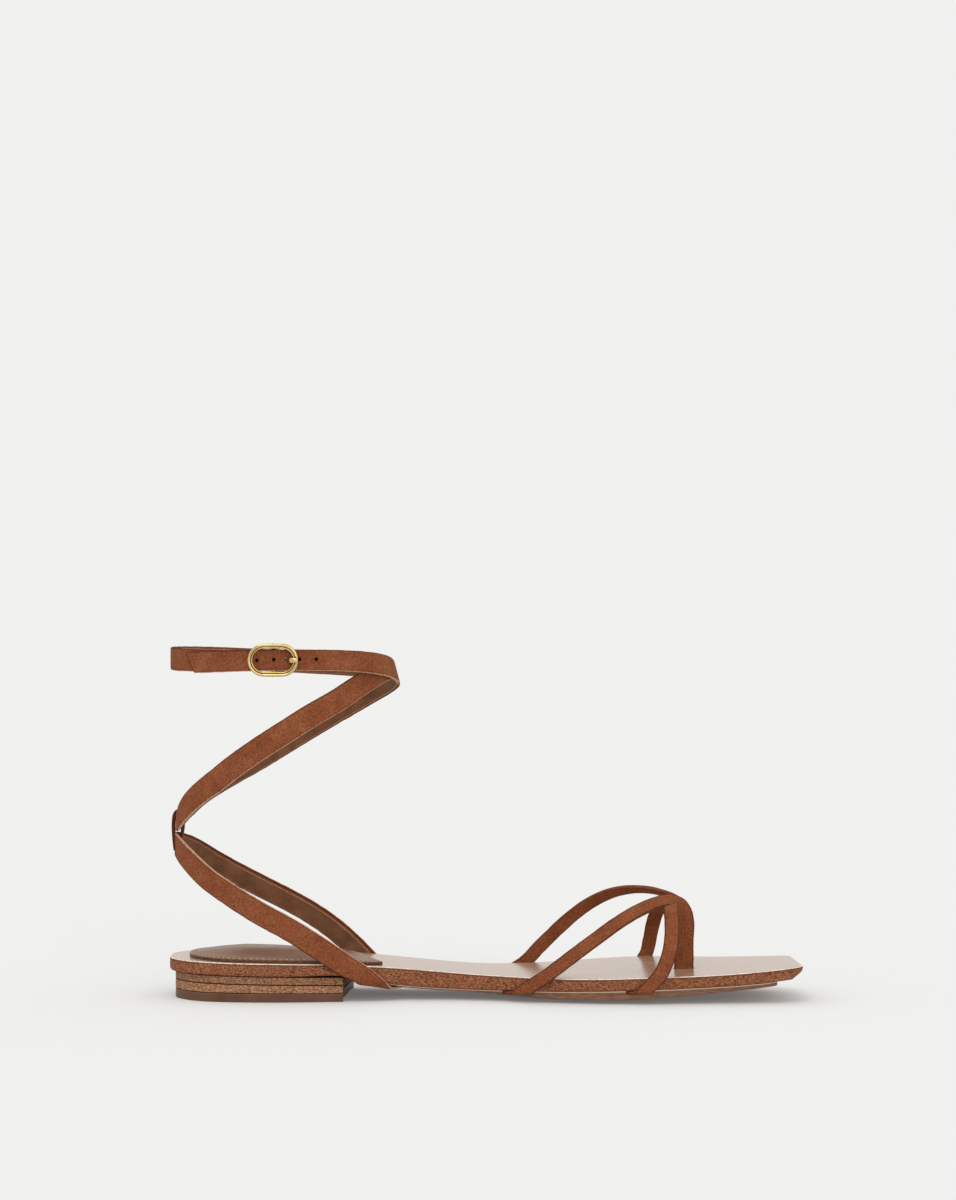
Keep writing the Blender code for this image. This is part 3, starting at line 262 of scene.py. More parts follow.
# The tab that folds over the ankle strap at the back of the heel.
TAB = (
    (-119.5, 0.0, 57.4, -1.0, 0.0, 0.0, 5.4),
    (-119.9, 0.0, 61.0, -1.0, 0.0, -0.1, 5.5),
    (-120.2, 0.0, 65.6, -1.0, 0.0, 0.0, 5.6),
    (-120.15, 0.0, 69.2, -1.0, 0.0, 0.1, 5.6),
    (-119.8, 0.0, 71.4, -0.9, 0.0, 0.5, 5.6),
    (-119.0, 0.0, 72.6, -0.5, 0.0, 1.0, 5.6),
    (-118.1, 0.0, 72.8, 0.2, 0.0, 1.0, 5.6),
    (-117.1, 0.0, 72.1, 0.8, 0.0, 0.6, 5.6),
    (-116.6, 0.0, 70.2, 1.0, 0.0, 0.1, 5.6),
    (-116.55, 0.0, 66.0, 1.0, 0.0, 0.0, 5.6),
    (-117.1, 0.0, 62.9, 1.0, 0.0, -0.3, 5.5),
    (-118.2, 0.0, 59.6, 1.0, 0.0, -0.5, 5.4),
)
TAB_THICKNESS = 1.2

# The ankle strap is one strap. It is wound on an oval seen from above, from
# its free tip, under the buckle, round the front, down the lateral side,
# through the tab at the back (turn 0), up the medial side, round the front
# under itself, round the back and to the buckle's bar.
OVAL_X, OVAL_LONG, OVAL_WIDE = -77.3, 43.2, 28.2
OUTER_TURN = 1.95
WIND_COLUMNS = ("turn", "z", "out", "lean", "w")
WIND = (
    (-320.0, 132.1, 1.95, 0.0, 8.3),
    (-304.0, 132.6, 1.95, 0.0, 8.3),
    (-288.0, 133.1, 1.95, 0.0, 8.2),
    (-272.0, 133.5, 1.95, 0.0, 8.2),
    (-255.0, 133.4, 1.95, 0.0, 8.2),
    (-238.0, 133.1, 1.95, 0.0, 8.2),
    (-220.0, 132.1, 1.8, 0.08, 8.3),
    (-203.0, 130.5, 1.6, 0.22, 8.6),
    (-187.0, 128.2, 1.55, 0.28, 8.8),
    (-172.0, 125.8, 1.6, 0.28, 8.6),
    (-156.0, 122.6, 1.7, 0.2, 8.4),
    (-140.0, 118.5, 1.6, 0.08, 8.3),
    (-123.0, 112.3, 0.8, 0.0, 8.3),
    (-109.0, 106.5, 0.2, 0.0, 8.3),
    (-96.0, 100.6, 0.0, 0.0, 8.3),
    (-84.0, 95.0, 0.0, 0.0, 8.3),
    (-71.0, 89.4, 0.0, 0.0, 8.3),
    (-56.0, 83.8, -0.4, 0.0, 8.3),
    (-40.0, 78.5, -1.0, 0.0, 8.3),
    (-24.0, 73.0, -1.5, 0.0, 8.2),
    (-10.0, 68.7, -1.9, 0.0, 6.5),
    (0.0, 68.0, -1.95, 0.0, 6.2),
    (10.0, 68.8, -1.9, 0.0, 6.5),
    (24.0, 73.5, -1.5, 0.0, 8.2),
    (35.0, 77.9, -1.0, 0.0, 8.7),
    (45.0, 82.0, -0.7, 0.0, 9.0),
    (54.0, 85.8, -0.4, 0.0, 9.2),
    (68.0, 92.9, 0.0, 0.0, 9.2),
    (81.0, 99.5, 0.0, 0.0, 9.2),
    (94.0, 105.8, 0.0, 0.0, 9.2),
    (106.0, 111.4, 0.0, 0.0, 9.2),
    (120.0, 117.0, 0.0, 0.0, 9.1),
    (135.0, 122.7, -0.3, 0.08, 8.9),
    (154.0, 127.4, -0.6, 0.2, 8.4),
    (172.0, 129.2, -0.7, 0.28, 8.5),
    (190.0, 129.4, -0.7, 0.28, 8.6),
    (210.0, 129.3, -0.5, 0.16, 8.7),
    (240.0, 129.8, 0.0, 0.0, 8.8),
    (272.0, 131.0, 0.0, 0.0, 8.8),
    (305.0, 132.3, 0.0, 0.0, 8.8),
    (335.0, 133.0, 0.0, 0.0, 8.8),
    (360.0, 133.1, 0.0, 0.0, 8.8),
    (385.0, 132.9, 0.0, 0.0, 8.8),
    (408.0, 132.9, 0.0, 0.0, 8.4),
    (428.0, 133.2, 0.0, 0.0, 8.1),
)
TURN_STEP = 8.0
FREE_TIP_SLANT = 4.2  # how much the strap's cut end leans along the strap

# --- buckle -----------------------------------------------------------------
BUCKLE_X, BUCKLE_Z = -79.4, 133.5
BUCKLE_LENGTH, BUCKLE_HEIGHT = 19.7, 12.8
FRAME_Y = -32.3
FRAME_WIRE = 0.98  # half thickness of the oval
BAR_Y, BAR_WIRE = -26.4, 0.8
PRONG_WIRE = 0.6
EYE_RADIUS = 1.7
PRONG_HOLE_X, PRONG_HOLE_R = -74.0, 1.7
FOLD_LENGTH = 13.0

# --- helpers ----------------------------------------------------------------
def turning(a, b):
    """Degrees between two directions."""
    size = np.linalg.norm(a) * np.linalg.norm(b)
    return math.degrees(math.acos(max(-1.0, min(1.0, float(np.dot(a, b)) / size)))) if size else 0.0


def smooth_rows(rows, lengths, pitch, bend=None):
    """Hermite curve through the rows, whose parameter runs over `lengths`.
    Where the curve turns more than `bend` degrees it gets more sections."""
    p = np.array(rows, float)
    s = np.concatenate([[0.0], np.cumsum(lengths)])
    slope = (p[1:] - p[:-1]) / (s[1:] - s[:-1])[:, None]
    tangent = np.empty_like(p)
    tangent[0], tangent[-1] = slope[0], slope[-1]
    for i in range(1, len(p) - 1):
        before, after = s[i] - s[i - 1], s[i + 1] - s[i]
        tangent[i] = (slope[i - 1] * after + slope[i] * before) / (before + after)
    out = [p[0]]
    for i in range(len(p) - 1):
        h = s[i + 1] - s[i]
        count = max(1, math.ceil(h / pitch - 0.01))
        if bend:
            turn = max(turning(tangent[i][:3], tangent[i + 1][:3]), turning(p[i][3:6], p[i + 1][3:6]))
            count = max(count, math.ceil(turn / bend - 0.01))
        for k in range(1, count + 1):
            t = k / count
            a, b = 2 * t**3 - 3 * t**2 + 1, t**3 - 2 * t**2 + t
            c, d = -2 * t**3 + 3 * t**2, t**3 - t**2
            out.append(a * p[i] + b * h * tangent[i] + c * p[i + 1] + d * h * tangent[i + 1])
    return np.array(out)


def curve_through(rows, pitch, bend):
    """The same, with the distance between the rows' first three columns."""
    p = np.array(rows, float)
    return smooth_rows(p, np.linalg.norm(np.diff(p[:, :3], axis=0), axis=1), pitch, bend)


PROFILE_FINE = smooth_rows(PROFILE, [b[0] - a[0] for a, b in zip(PROFILE, PROFILE[1:])], 2.0)


def height(column, x):
    return float(np.interp(x, PROFILE_FINE[:, 0], PROFILE_FINE[:, PROFILE_COLUMNS.index(column)]))


def ease(t):
    t = min(1.0, max(0.0, t))
    return t * t * (3 - 2 * t)


def outline_sections(pitch=5.0):
    """Medial and lateral edge points, section by section."""
    rows = np.array(OUTLINE)
    steps = np.linalg.norm(np.diff(rows, axis=0), axis=1) / math.sqrt(2)
    fine = smooth_rows(rows, steps, pitch)
    return fine[:, :2], fine[:, 2:]


def moved_inward(medial, lateral, inset):
    """Both edges moved inward along the outline's own normals."""
    loop = np.concatenate([medial, lateral[::-1]])
    ahead, behind = np.roll(loop, -1, axis=0), np.roll(loop, 1, axis=0)
    e1 = loop - behind
    e2 = ahead - loop
    e1 /= np.linalg.norm(e1, axis=1)[:, None]
    e2 /= np.linalg.norm(e2, axis=1)[:, None]
    # The loop runs counter-clockwise, so inward is to the left of its edges.
    n1 = np.stack([-e1[:, 1], e1[:, 0]], axis=1)
    n2 = np.stack([-e2[:, 1], e2[:, 0]], axis=1)
    n = n1 + n2
    n /= np.linalg.norm(n, axis=1)[:, None]
    lengthen = 1 / np.maximum(0.6, (n * n1).sum(axis=1))
    inset = np.broadcast_to(np.asarray(inset, float), (len(loop),))
    loop = loop + n * (inset * lengthen)[:, None]
    return loop[: len(medial)], loop[len(medial) :][::-1]


def unit(v):
    return v / np.linalg.norm(v)


EDGES = {}  # side: the board's edge, filled in by main


def foot(name, thickness):
    """Where a strap reaches the fold: the place, the edge's direction the strap
    travels in, outward, and downwards along the strap."""
    row = next(row for row in FEET if row[0] == name)
    found = dict(zip(FEET_COLUMNS, row))
    edge = EDGES[found["side"]]
    x, side = found["x"], found["side"]
    y = float(np.interp(x, edge[:, 0], edge[:, 1]))
    rise = float(np.interp(x + 4, edge[:, 0], edge[:, 1]) - np.interp(x - 4, edge[:, 0], edge[:, 1])) / 8
    found["tangent"] = unit(np.array((1.0, rise, 0.0))) * found["travel"]
    found["outward"] = unit(np.array((-rise, 1.0, 0.0))) * side
    angle = math.radians(found["slope"])
    # A hollow stretch of edge stands further out than its tangent.
    half = found["w"] / 2 / math.sin(angle)
    near = edge[(edge[:, 0] > x - half) & (edge[:, 0] < x + half)] - (x, y)
    proud = max(0.0, float((near @ found["outward"][:2]).max()))
    level = height("under", x) - GAP - TUCK / 2 + ROLL - found["sag"]
    found["place"] = np.array((x, y, level)) + found["outward"] * (GAP + proud + thickness / 2)
    found["lean"] = (height("under", x + 4) - height("under", x - 4)) / 8
    found["down"] = found["tangent"] * math.cos(angle) - np.array((0.0, 0.0, math.sin(angle)))
    found["drift"] = 1 / math.tan(angle)
    return found


def foot_rows(at):
    """Two ribbon rows, of the fold's start and of a place above it."""
    above = at["place"] - at["down"] * 3.5
    return [(*place, *at["outward"], at["w"]) for place in (above, at["place"])]


# --- meshes -----------------------------------------------------------------
def new_mesh(name, vertices, faces, materials, index=None, layers=None, angle=40.0):
    """An object from millimetres in the shoe's frame. layers holds a pair of
    numbers per vertex, kept as UV maps so that Boolean cuts interpolate them."""
    mesh = bpy.data.meshes.new(name)
    mesh.from_pydata(
        [((v[0] - SHIFT[0]) * MM, (v[1] - SHIFT[1]) * MM, v[2] * MM) for v in vertices], [], faces
    )
    for made_of in materials:
        mesh.materials.append(made_of)
    if index is not None:
        mesh.polygons.foreach_set("material_index", np.array(index, np.int32))
    work = bmesh.new()
    work.from_mesh(mesh)
    bmesh.ops.recalc_face_normals(work, faces=work.faces)
    work.to_mesh(mesh)
    work.free()
    corners = np.empty(len(mesh.loops), np.int32)
    mesh.loops.foreach_get("vertex_index", corners)
    for layer, values in (layers or {}).items():
        uv = mesh.uv_layers.new(name=layer)
        uv.data.foreach_set("uv", np.asarray(values, np.float32)[corners].ravel())
    mesh.shade_smooth()
    mesh.set_sharp_from_angle(angle=math.radians(angle))
    obj = bpy.data.objects.new(name, mesh)
    bpy.context.scene.collection.objects.link(obj)
    return obj


def carve(obj, cutters, operation="DIFFERENCE", angle=40.0):
    """The Boolean applied to the mesh. The cutters are used up."""
    for other in cutters:
        modifier = obj.modifiers.new(other.name, "BOOLEAN")
        modifier.operation, modifier.solver, modifier.object = operation, "EXACT", other
    bpy.context.view_layer.update()
    graph = bpy.context.evaluated_depsgraph_get()
    made = bpy.data.meshes.new_from_object(obj.evaluated_get(graph))
    obj.modifiers.clear()
    obj.data = made
    for other in cutters:
        bpy.data.objects.remove(other, do_unlink=True)
    made.set_sharp_from_angle(angle=math.radians(angle))
    return obj


def place(obj, slot, *nodes, body="root"):
    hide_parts(*nodes)
    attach(obj, body)
    return obj


def wobble(x, y, z, size):
    """Smooth noise between -1 and 1, `size` millimetres from hump to hump."""
    return noise.noise(Vector((x / size, y / size, z / size)))


# --- straps -----------------------------------------------------------------
def band_section(w, t, lined, margins=(1.0, 1.0)):
    """Section of a strap: (across, out, edge). The edges are turned, and a
    lining lies a little proud of the turned margins on the inside."""
    a, b = w / 2, t / 2
    s = min(1.0, t / 1.5)
    h = 0.22 * s if lined else 0.0
    left, right = margins
    return (
        (-a + 0.30, -b + h, 0.3), (-a + left, -b + h, 0.0), (-a + left + 0.12, -b + 0.01, 0.0),
        (-a + left + 0.6, -b, 0.0), (-0.2 * a, -b, 0.0), (0.2 * a, -b, 0.0), (a - right - 0.6, -b, 0.0),
        (a - right - 0.12, -b + 0.01, 0.0), (a - right, -b + h, 0.0), (a - 0.30, -b + h, 0.3),
        (a - 0.07, -b + h + 0.2 * s, 0.9), (a, -b + h + 0.45 * s, 1.0), (a, b - 0.40 * s, 1.0),
        (a - 0.10, b - 0.13 * s, 0.9), (a - 0.36, b - 0.01, 0.5), (a - 0.75, b + 0.03, 0.0),
        (0.35 * a, b + 0.05, 0.0), (-0.35 * a, b + 0.05, 0.0),
        (-a + 0.75, b + 0.03, 0.0), (-a + 0.36, b - 0.01, 0.5), (-a + 0.10, b - 0.13 * s, 0.9),
        (-a, b - 0.40 * s, 1.0), (-a, -b + h + 0.45 * s, 1.0), (-a + 0.07, -b + h + 0.2 * s, 0.9),
    )


def ribbon_frames(fine, thickness, level_from=None, level_to=None):
    """(centre, across, out, width, thickness) along the strap."""
    steps = np.linalg.norm(np.diff(fine[:, :3], axis=0), axis=1)
    reach = np.concatenate([[0.0], np.cumsum(steps)])
    frames = []
    for i, row in enumerate(fine):
        ahead, behind = fine[min(i + 1, len(fine) - 1)], fine[max(i - 1, 0)]
        along = unit(ahead[:3] - behind[:3])
        out = unit(row[3:6] - along * np.dot(row[3:6], along))
        across = np.cross(along, out)
        share = 0.0
        if level_from:
            share = max(share, ease(1 - reach[i] / LEVELLING))
        if level_to:
            share = max(share, ease(1 - (reach[-1] - reach[i]) / LEVELLING))
        if share:
            across = across - along * (across[2] / along[2] * share)
        frames.append((row[:3], across, out, row[6], thickness))
    return frames


def fold_frames(at, across, thickness, grow=0.0, steps=12):
    up = np.array((0.0, 0.0, 1.0))
    frames = []
    for k in range(1, steps + 1):
        share = k / steps
        a = math.radians(at["turned"] * share)
        centre = (
            at["place"] + at["tangent"] * (ROLL * a * at["drift"])
            + at["outward"] * (ROLL * math.cos(a) - ROLL) - up * (ROLL * math.sin(a))
        )
        lean = at["lean"] * share
        centre = centre + up * (lean * (centre[0] - at["place"][0]))
        thin = thickness + (TUCK - thickness) * share
        frames.append((
            centre, across + up * (lean * across[0]), at["outward"] * math.cos(a) - up * math.sin(a),
            at["w"] + 2 * grow, thin + 2 * grow,
        ))
    centre, across, out, w, t = frames[-1]
    past = math.radians(at["turned"] - 90)
    run = at["tangent"] * at["drift"] - at["outward"] * math.cos(past) + up * math.sin(past)
    run = run + up * (at["lean"] * run[0])
    frames.append((centre + run * (at["tuck"] + grow), across, out, w, t))
    return frames


def strap_frames(rows, thickness, start=None, end=None, pitch=1.15, bend=5.0):
    rows = list(rows)
    first = foot(start, thickness) if start else None
    last = foot(end, thickness) if end else None
    if first:
        rows = foot_rows(first)[::-1] + rows
    if last:
        rows = rows + foot_rows(last)
    fine = curve_through(rows, pitch, bend)
    frames = ribbon_frames(fine, thickness, start, end)
    if first:
        frames = fold_frames(first, frames[0][1], thickness)[::-1] + frames
    if last:
        frames = frames + fold_frames(last, frames[-1][1], thickness)
    return frames


def strap_mesh(name, frames, lined, seed, materials, margins=(1.0, 1.0), edge_highlight_share=(0.2, 0.2), far=None):
    """The closed strap. Its edges wander a little, as cut suede does. The pair of edge shares gives the left and right
    edges their painted highlight over the paler cut-edge colour; small shares give the painted shade line instead, and
    far marks the run where the right edge takes that shade line."""
    vertices, strap, edge = [], [], []
    travelled = 0.0
    for i, (centre, across, out, w, t) in enumerate(frames):
        if i:
            travelled += float(np.linalg.norm(centre - frames[i - 1][0]))
        loose = min(1.0, travelled / 6.0)
        left = (0.09 * wobble(travelled, seed, 0.0, 3.1) + 0.06 * wobble(travelled, seed, 3.0, 1.1)) * loose
        right = (0.09 * wobble(travelled, seed, 7.7, 3.1) + 0.06 * wobble(travelled, seed, 5.0, 1.1)) * loose
        swell = 0.05 * wobble(travelled, seed, 9.9, 5.0) * loose
        for u, v, e in band_section(w, t, lined, margins):
            shift = left if u < 0 else right
            vertices.append(tuple(
                centre + across * (u + shift * (abs(u) / (w / 2)) ** 2) + out * (v + swell * (1 - (2 * u / w) ** 2))
            ))
            strap.append((u, travelled))
            highlight_share = edge_highlight_share[0] if u < 0 else edge_highlight_share[1]
            if far and u > 0:  # along the far run the right edge gets the painted shade line instead of the painted highlight
                share = i / (len(frames) - 1)
                highlight_share += (0.2 - highlight_share) * ease((share - far[0]) / 0.02) * ease((far[1] - share) / 0.02)
            edge.append((e * highlight_share, v / t))
    n = len(band_section(8.0, 1.5, lined))
    faces, index = [], []
    for i in range(len(frames) - 1):
        for k in range(n):
            a, b = i * n + k, i * n + (k + 1) % n
            faces.append((a, b, b + n, a + n))
            index.append((0, 2, 1, 1, 1, 1, 1, 2)[k] if lined and k < 8 else 0)
    faces.append(tuple(range(n)))
    faces.append(tuple((len(frames) - 1) * n + k for k in range(n)))
    index += [2, 2]
    return new_mesh(name, vertices, faces, materials, index, {"strap": strap, "edge": edge}, 50.0)


def block(name, low, high, index=0):
    (x0, y0, z0), (x1, y1, z1) = low, high
    vertices = [(x, y, z) for z in (z0, z1) for x, y in ((x0, y0), (x1, y0), (x1, y1), (x0, y1))]
    faces = [(3, 2, 1, 0), (4, 5, 6, 7), (0, 1, 5, 4), (1, 2, 6, 5), (2, 3, 7, 6), (3, 0, 4, 7)]
    return new_mesh(name, vertices, faces, [], [index] * 6)


def tube(name, path, radius, materials, closed=False, sides=16, section=None, index=0, ends=None):
    """A wire along points near one plane. section lists (outward, normal) pairs
    in place of a circle; ends gives the radius share at each point."""
    path = np.array(path, float)
    normal, middle = np.zeros(3), path.mean(axis=0)
    for a, b in zip(path, path[1:]):
        normal += np.cross(a - middle, b - middle)
    normal = unit(normal)
    if section is None:
        section = [
            (radius * math.cos(2 * math.pi * (k + 0.5) / sides), radius * math.sin(2 * math.pi * (k + 0.5) / sides))
            for k in range(sides)
        ]
    n, m = len(path), len(section)
    vertices, faces = [], []
    for i in range(n):
        along = unit(path[(i + 1) % n] - path[i - 1]) if closed else unit(path[min(i + 1, n - 1)] - path[max(i - 1, 0)])
        side = unit(np.cross(along, normal))
        thick, tall = (1.0, 1.0) if ends is None else ends[i]
        for r, d in section:
            vertices.append(tuple(path[i] + thick * r * side + tall * d * normal))
    for i in range(n if closed else n - 1):
        for k in range(m):
            a, b = i * m + k, i * m + (k + 1) % m
            c, d = (i + 1) % n * m + (k + 1) % m, (i + 1) % n * m + k
            faces.append((a, b, c, d))
    if not closed:
        faces += [tuple(range(m)), tuple((n - 1) * m + k for k in range(m))]
    return new_mesh(name, vertices, faces, materials, [index] * len(faces), None, 50.0)


# --- sole -------------------------------------------------------------------
def toe_paring(x):
    t = min(1.0, max(0.0, (x - TOE_BEVEL_START) / TOE_BEVEL_LENGTH))
    return 1 - math.sqrt(1 - t * t)


def make_board(materials):
    """Top, rounded upper edge, rough side wall and underside."""
    edges = outline_sections(1.0)
    loop = np.concatenate([edges[0], edges[1][::-1]])
    loop_x = loop[:, 0]

    def wall_foot(x):
        full = height("seat", x) - height("under", x) - 0.5
        return height("seat", x) - (full + (TOE_TIP_THICKNESS - full) * toe_paring(x))

    rings = []  # (inset, level, index of the faces below)
    # The faces of the rounded upper edge (index 3) get the near white rim colour, a painted highlight.
    for inset, drop in ((1.6, 0.0), (0.75, 0.015), (0.42, 0.06), (0.18, 0.17), (0.04, 0.34)):
        rings.append((
            np.full(len(loop), inset), lambda x, drop=drop: height("seat", x) - drop, 0 if drop < 0.05 else 3 if drop < 0.3 else 1,
        ))
    levels = 12
    for k in range(1, levels + 1):
        t = k / levels
        rough = np.array([
            0.055 * wobble(x, y, 9.0 * t, 0.9) + 0.05 * wobble(0.25 * x, 0.25 * y, 30.0 * t, 1.0) for x, y in loop
        ])
        rings.append((
            rough, lambda x, t=t: (height("seat", x) - 0.34) + (wall_foot(x) - height("seat", x) + 0.34) * t, 1,
        ))
    rings[-1] = (rings[-1][0] + 0.05, rings[-1][1], 1)
    under = np.array([0.5 + 5.5 * toe_paring(x) for x in loop_x])
    rings.append((under, lambda x: height("under", x), 2))
    count, per = len(edges[0]), len(loop)
    vertices, depth = [], []
    for inset, level, _ in rings:
        medial, lateral = moved_inward(*edges, inset)
        for side in (medial, lateral):
            for x, y in side:
                z = level(x)
                vertices.append((x, y, z))
                depth.append((height("seat", x) - z, x))
    order = list(range(count)) + list(range(per - 1, count - 1, -1))
    faces, index = [], []
    for r in range(len(rings) - 1):
        for i in range(per):
            a, b = order[i], order[(i + 1) % per]
            faces.append((r * per + a, r * per + b, (r + 1) * per + b, (r + 1) * per + a))
            index.append(rings[r][2])
    for r, which in ((0, 0), (len(rings) - 1, 2)):
        for i in range(count - 1):
            faces.append((r * per + i, r * per + i + 1, r * per + count + i + 1, r * per + count + i))
            index.append(which)
    board = new_mesh("board_detail", vertices, faces, materials, index, {"depth": depth}, 35.0)
    post_y = (THONG_MEDIAL[-1][1] + THONG_LATERAL[-1][1]) / 2
    post_x = THONG_MEDIAL[-1][0]
    slot = block(
        "post_slot", (post_x - 3.8 - GAP, post_y - 1.6 - GAP, 2.0), (post_x + 3.8 + GAP, post_y + 1.6 + GAP, 15.0), 1,
    )
    return carve(board, [slot], angle=35.0)


def part_of_outline(x_from, x_to, pitch):
    medial, lateral = outline_sections(1.0)
    xs = np.linspace(x_from, x_to, int((x_to - x_from) / pitch) + 1)
    return (
        np.array([(x, np.interp(x, medial[:, 0], medial[:, 1])) for x in xs]),
        np.array([(x, np.interp(x, lateral[:, 0], lateral[:, 1])) for x in xs]),
    )


def make_outsole(materials):
    medial, lateral = part_of_outline(OUTSOLE_REAR, OUTSOLE_FRONT, 1.2)
    medial = medial + (0, OUTSOLE_INSET)
    lateral = lateral - (0, OUTSOLE_INSET)
    for side, deep, back in ((medial, 3.0, 0.0), (lateral, -1.6, -2.0)):
        for p in side:
            t = (p[0] - (OUTSOLE_FRONT - 6.0)) / 6.0
            if t > 0:
                p[1] += deep * (1 - math.sqrt(max(0.0, 1 - min(1.0, t) ** 2)))
                p[0] += back * min(1.0, t) ** 2
    stations, marks = [], []
    shares = (0.06, 0.2, 0.4, 0.6, 0.8, 1.0)
    for (mx, my), (lx, ly) in zip(medial, lateral):
        half = (ly - my) / 2
        flat_m, flat_l = max(FLAT_MEDIAL, my + 0.55 * half), min(FLAT_LATERAL, ly - 0.55 * half)

        def rising(x, edge_y, flat_y, s):
            low, side = height("keel", x), height("bilge", x)
            z = side + (low - side) * s * (1.48 - 0.48 * s)
            return (x, edge_y + (flat_y - edge_y) * s, 0.0 if z < 0.02 else z)

        top_m, top_l = height("under", mx) - GAP, height("under", lx) - GAP
        low_m, low_l = height("bilge", mx), height("bilge", lx)
        column = [(lx, ly - 0.25, top_l), (lx, ly - 0.05, top_l - 0.06), (lx, ly, top_l - 0.3)]
        tags = [(0.0, 0), (0.05, 0), (0.3, 0)]
        column += [(lx, ly, low_l + 0.45), (lx, ly - 0.12, low_l + 0.12)]
        tags += [(1.5, 0), (2.0, 0)]
        for s in shares:
            column.append(rising(lx, ly, flat_l, s))
            tags.append((5.0, 0))
        for s in shares[::-1]:
            column.append(rising(mx, my, flat_m, s))
            tags.append((5.0, 0))
        column += [(mx, my + 0.12, low_m + 0.12), (mx, my, low_m + 0.45)]
        tags += [(2.0, 0), (1.5, 0)]
        column += [(mx, my, top_m - 0.3), (mx, my + 0.05, top_m - 0.06), (mx, my + 0.25, top_m)]
        tags += [(0.3, 0), (0.05, 0), (0.0, 0)]
        stations.append(column)
        marks += tags
    n = len(stations[0])
    vertices = [p for station in stations for p in station]
    faces = []
    for i in range(len(stations) - 1):
        for k in range(n):
            a, b = i * n + k, i * n + (k + 1) % n
            faces.append((a, b, b + n, a + n))
    faces += [tuple(range(n)), tuple((len(stations) - 1) * n + k for k in range(n))]
    outsole = new_mesh("outsole_detail", vertices, faces, materials, None, {"depth": marks}, 35.0)
    recesses = []
    for row in FEET:
        thickness = HEEL_STRAP if row[0][:4] == "heel" else TOE_STRAP
        at = foot(row[0], thickness)
        across = np.array(at["tangent"]) / math.sin(math.radians(at["slope"]))
        frames = [(at["place"], across, at["outward"], at["w"] + 2 * GAP, thickness + 2 * GAP)]
        frames += fold_frames(at, across, thickness, GAP, 6)
        recesses.append(strap_mesh("recess_" + row[0], frames, False, 0.0, []))
        recesses[-1].data.polygons.foreach_set("material_index", [0] * len(recesses[-1].data.polygons))
    return carve(outsole, recesses, angle=35.0)


def heel_outline(pitch=0.9):
    """Round the back from the breast's medial end to its lateral end."""
    medial, lateral = outline_sections(1.0)
    loop_x = np.concatenate([medial[:, 0], lateral[::-1, 0]])
    inset = np.array([
        HEEL_INSET_SIDE + (HEEL_INSET_REAR - HEEL_INSET_SIDE) * ease((-105 - x) / 16) for x in loop_x
    ])
    medial, lateral = moved_inward(medial, lateral, inset)
    y_m = float(np.interp(BREAST_MEDIAL, medial[:, 0], medial[:, 1]))
    y_l = float(np.interp(BREAST_LATERAL, lateral[:, 0], lateral[:, 1]))
    outline = [(BREAST_MEDIAL, y_m)]
    outline += [tuple(p) for p in medial[::-1] if p[0] < BREAST_MEDIAL - 0.6]
    outline += [tuple(p) for p in lateral if p[0] < BREAST_LATERAL - 0.6]
    outline += [(BREAST_LATERAL, y_l)]
    for k in range(1, 48):  # the breast, slightly hollow
        t = k / 48
        x = BREAST_LATERAL + (BREAST_MEDIAL - BREAST_LATERAL) * t - BREAST_HOLLOW * 4 * t * (1 - t)
        outline.append((x, y_l + (y_m - y_l) * t))
    return np.array(outline)


def make_heel_layer(name, row, materials, rough, bevel):
    values = dict(zip(LAYER_COLUMNS, row))
    outline = heel_outline()
    n = len(outline)
    ahead, behind = np.roll(outline, -1, axis=0), np.roll(outline, 1, axis=0)
    along = ahead - behind
    along /= np.linalg.norm(along, axis=1)[:, None]
    inward = np.stack([along[:, 1], -along[:, 0]], axis=1)
    if ((outline.mean(axis=0) - outline) * inward).sum() < 0:
        inward = -inward
    back, breast = -120.0, -50.0

    def plane(which, x):
        t = (x - back) / (breast - back)
        return values[which + "_back"] + (values[which + "_breast"] - values[which + "_back"]) * t

    vertices, depth = [], []
    levels = [0.0, 0.0, 0.35 * bevel, bevel]
    insets = [2.0, bevel, 0.3 * bevel, 0.0]
    for k in range(len(levels)):
        for (x, y), (i, j) in zip(outline, inward):
            vertices.append((x + i * insets[k], y + j * insets[k], plane("top", x) - levels[k]))
            depth.append((levels[k], 0.0))
    middle = 8
    for k in range(1, middle):
        t = k / middle
        for (x, y), (i, j) in zip(outline, inward):
            d = rough * (wobble(x, y, 9.0 * t, 0.9) + wobble(0.25 * x, 0.25 * y, 25.0 * t + values["top_back"], 1.0))
            top, under = plane("top", x) - bevel, plane("under", x) + bevel
            vertices.append((x + i * d, y + j * d, top + (under - top) * t))
            depth.append((5.0 * min(t, 1 - t), 0.0))
    for k in range(len(levels) - 1, -1, -1):
        for (x, y), (i, j) in zip(outline, inward):
            vertices.append((x + i * insets[k], y + j * insets[k], plane("under", x) + levels[k]))
            depth.append((levels[k], 1.0))
    rings = len(vertices) // n
    faces = [tuple(range(n)), tuple(range((rings - 1) * n, rings * n))]
    for r in range(rings - 1):
        faces += [(r * n + i, r * n + (i + 1) % n, (r + 1) * n + (i + 1) % n, (r + 1) * n + i) for i in range(n)]
    return new_mesh(name, vertices, faces, materials, None, {"depth": depth}, 35.0)


# --- heel pad ---------------------------------------------------------------
STITCH_INSET = 1.75  # the stitch line, from the pad's edge


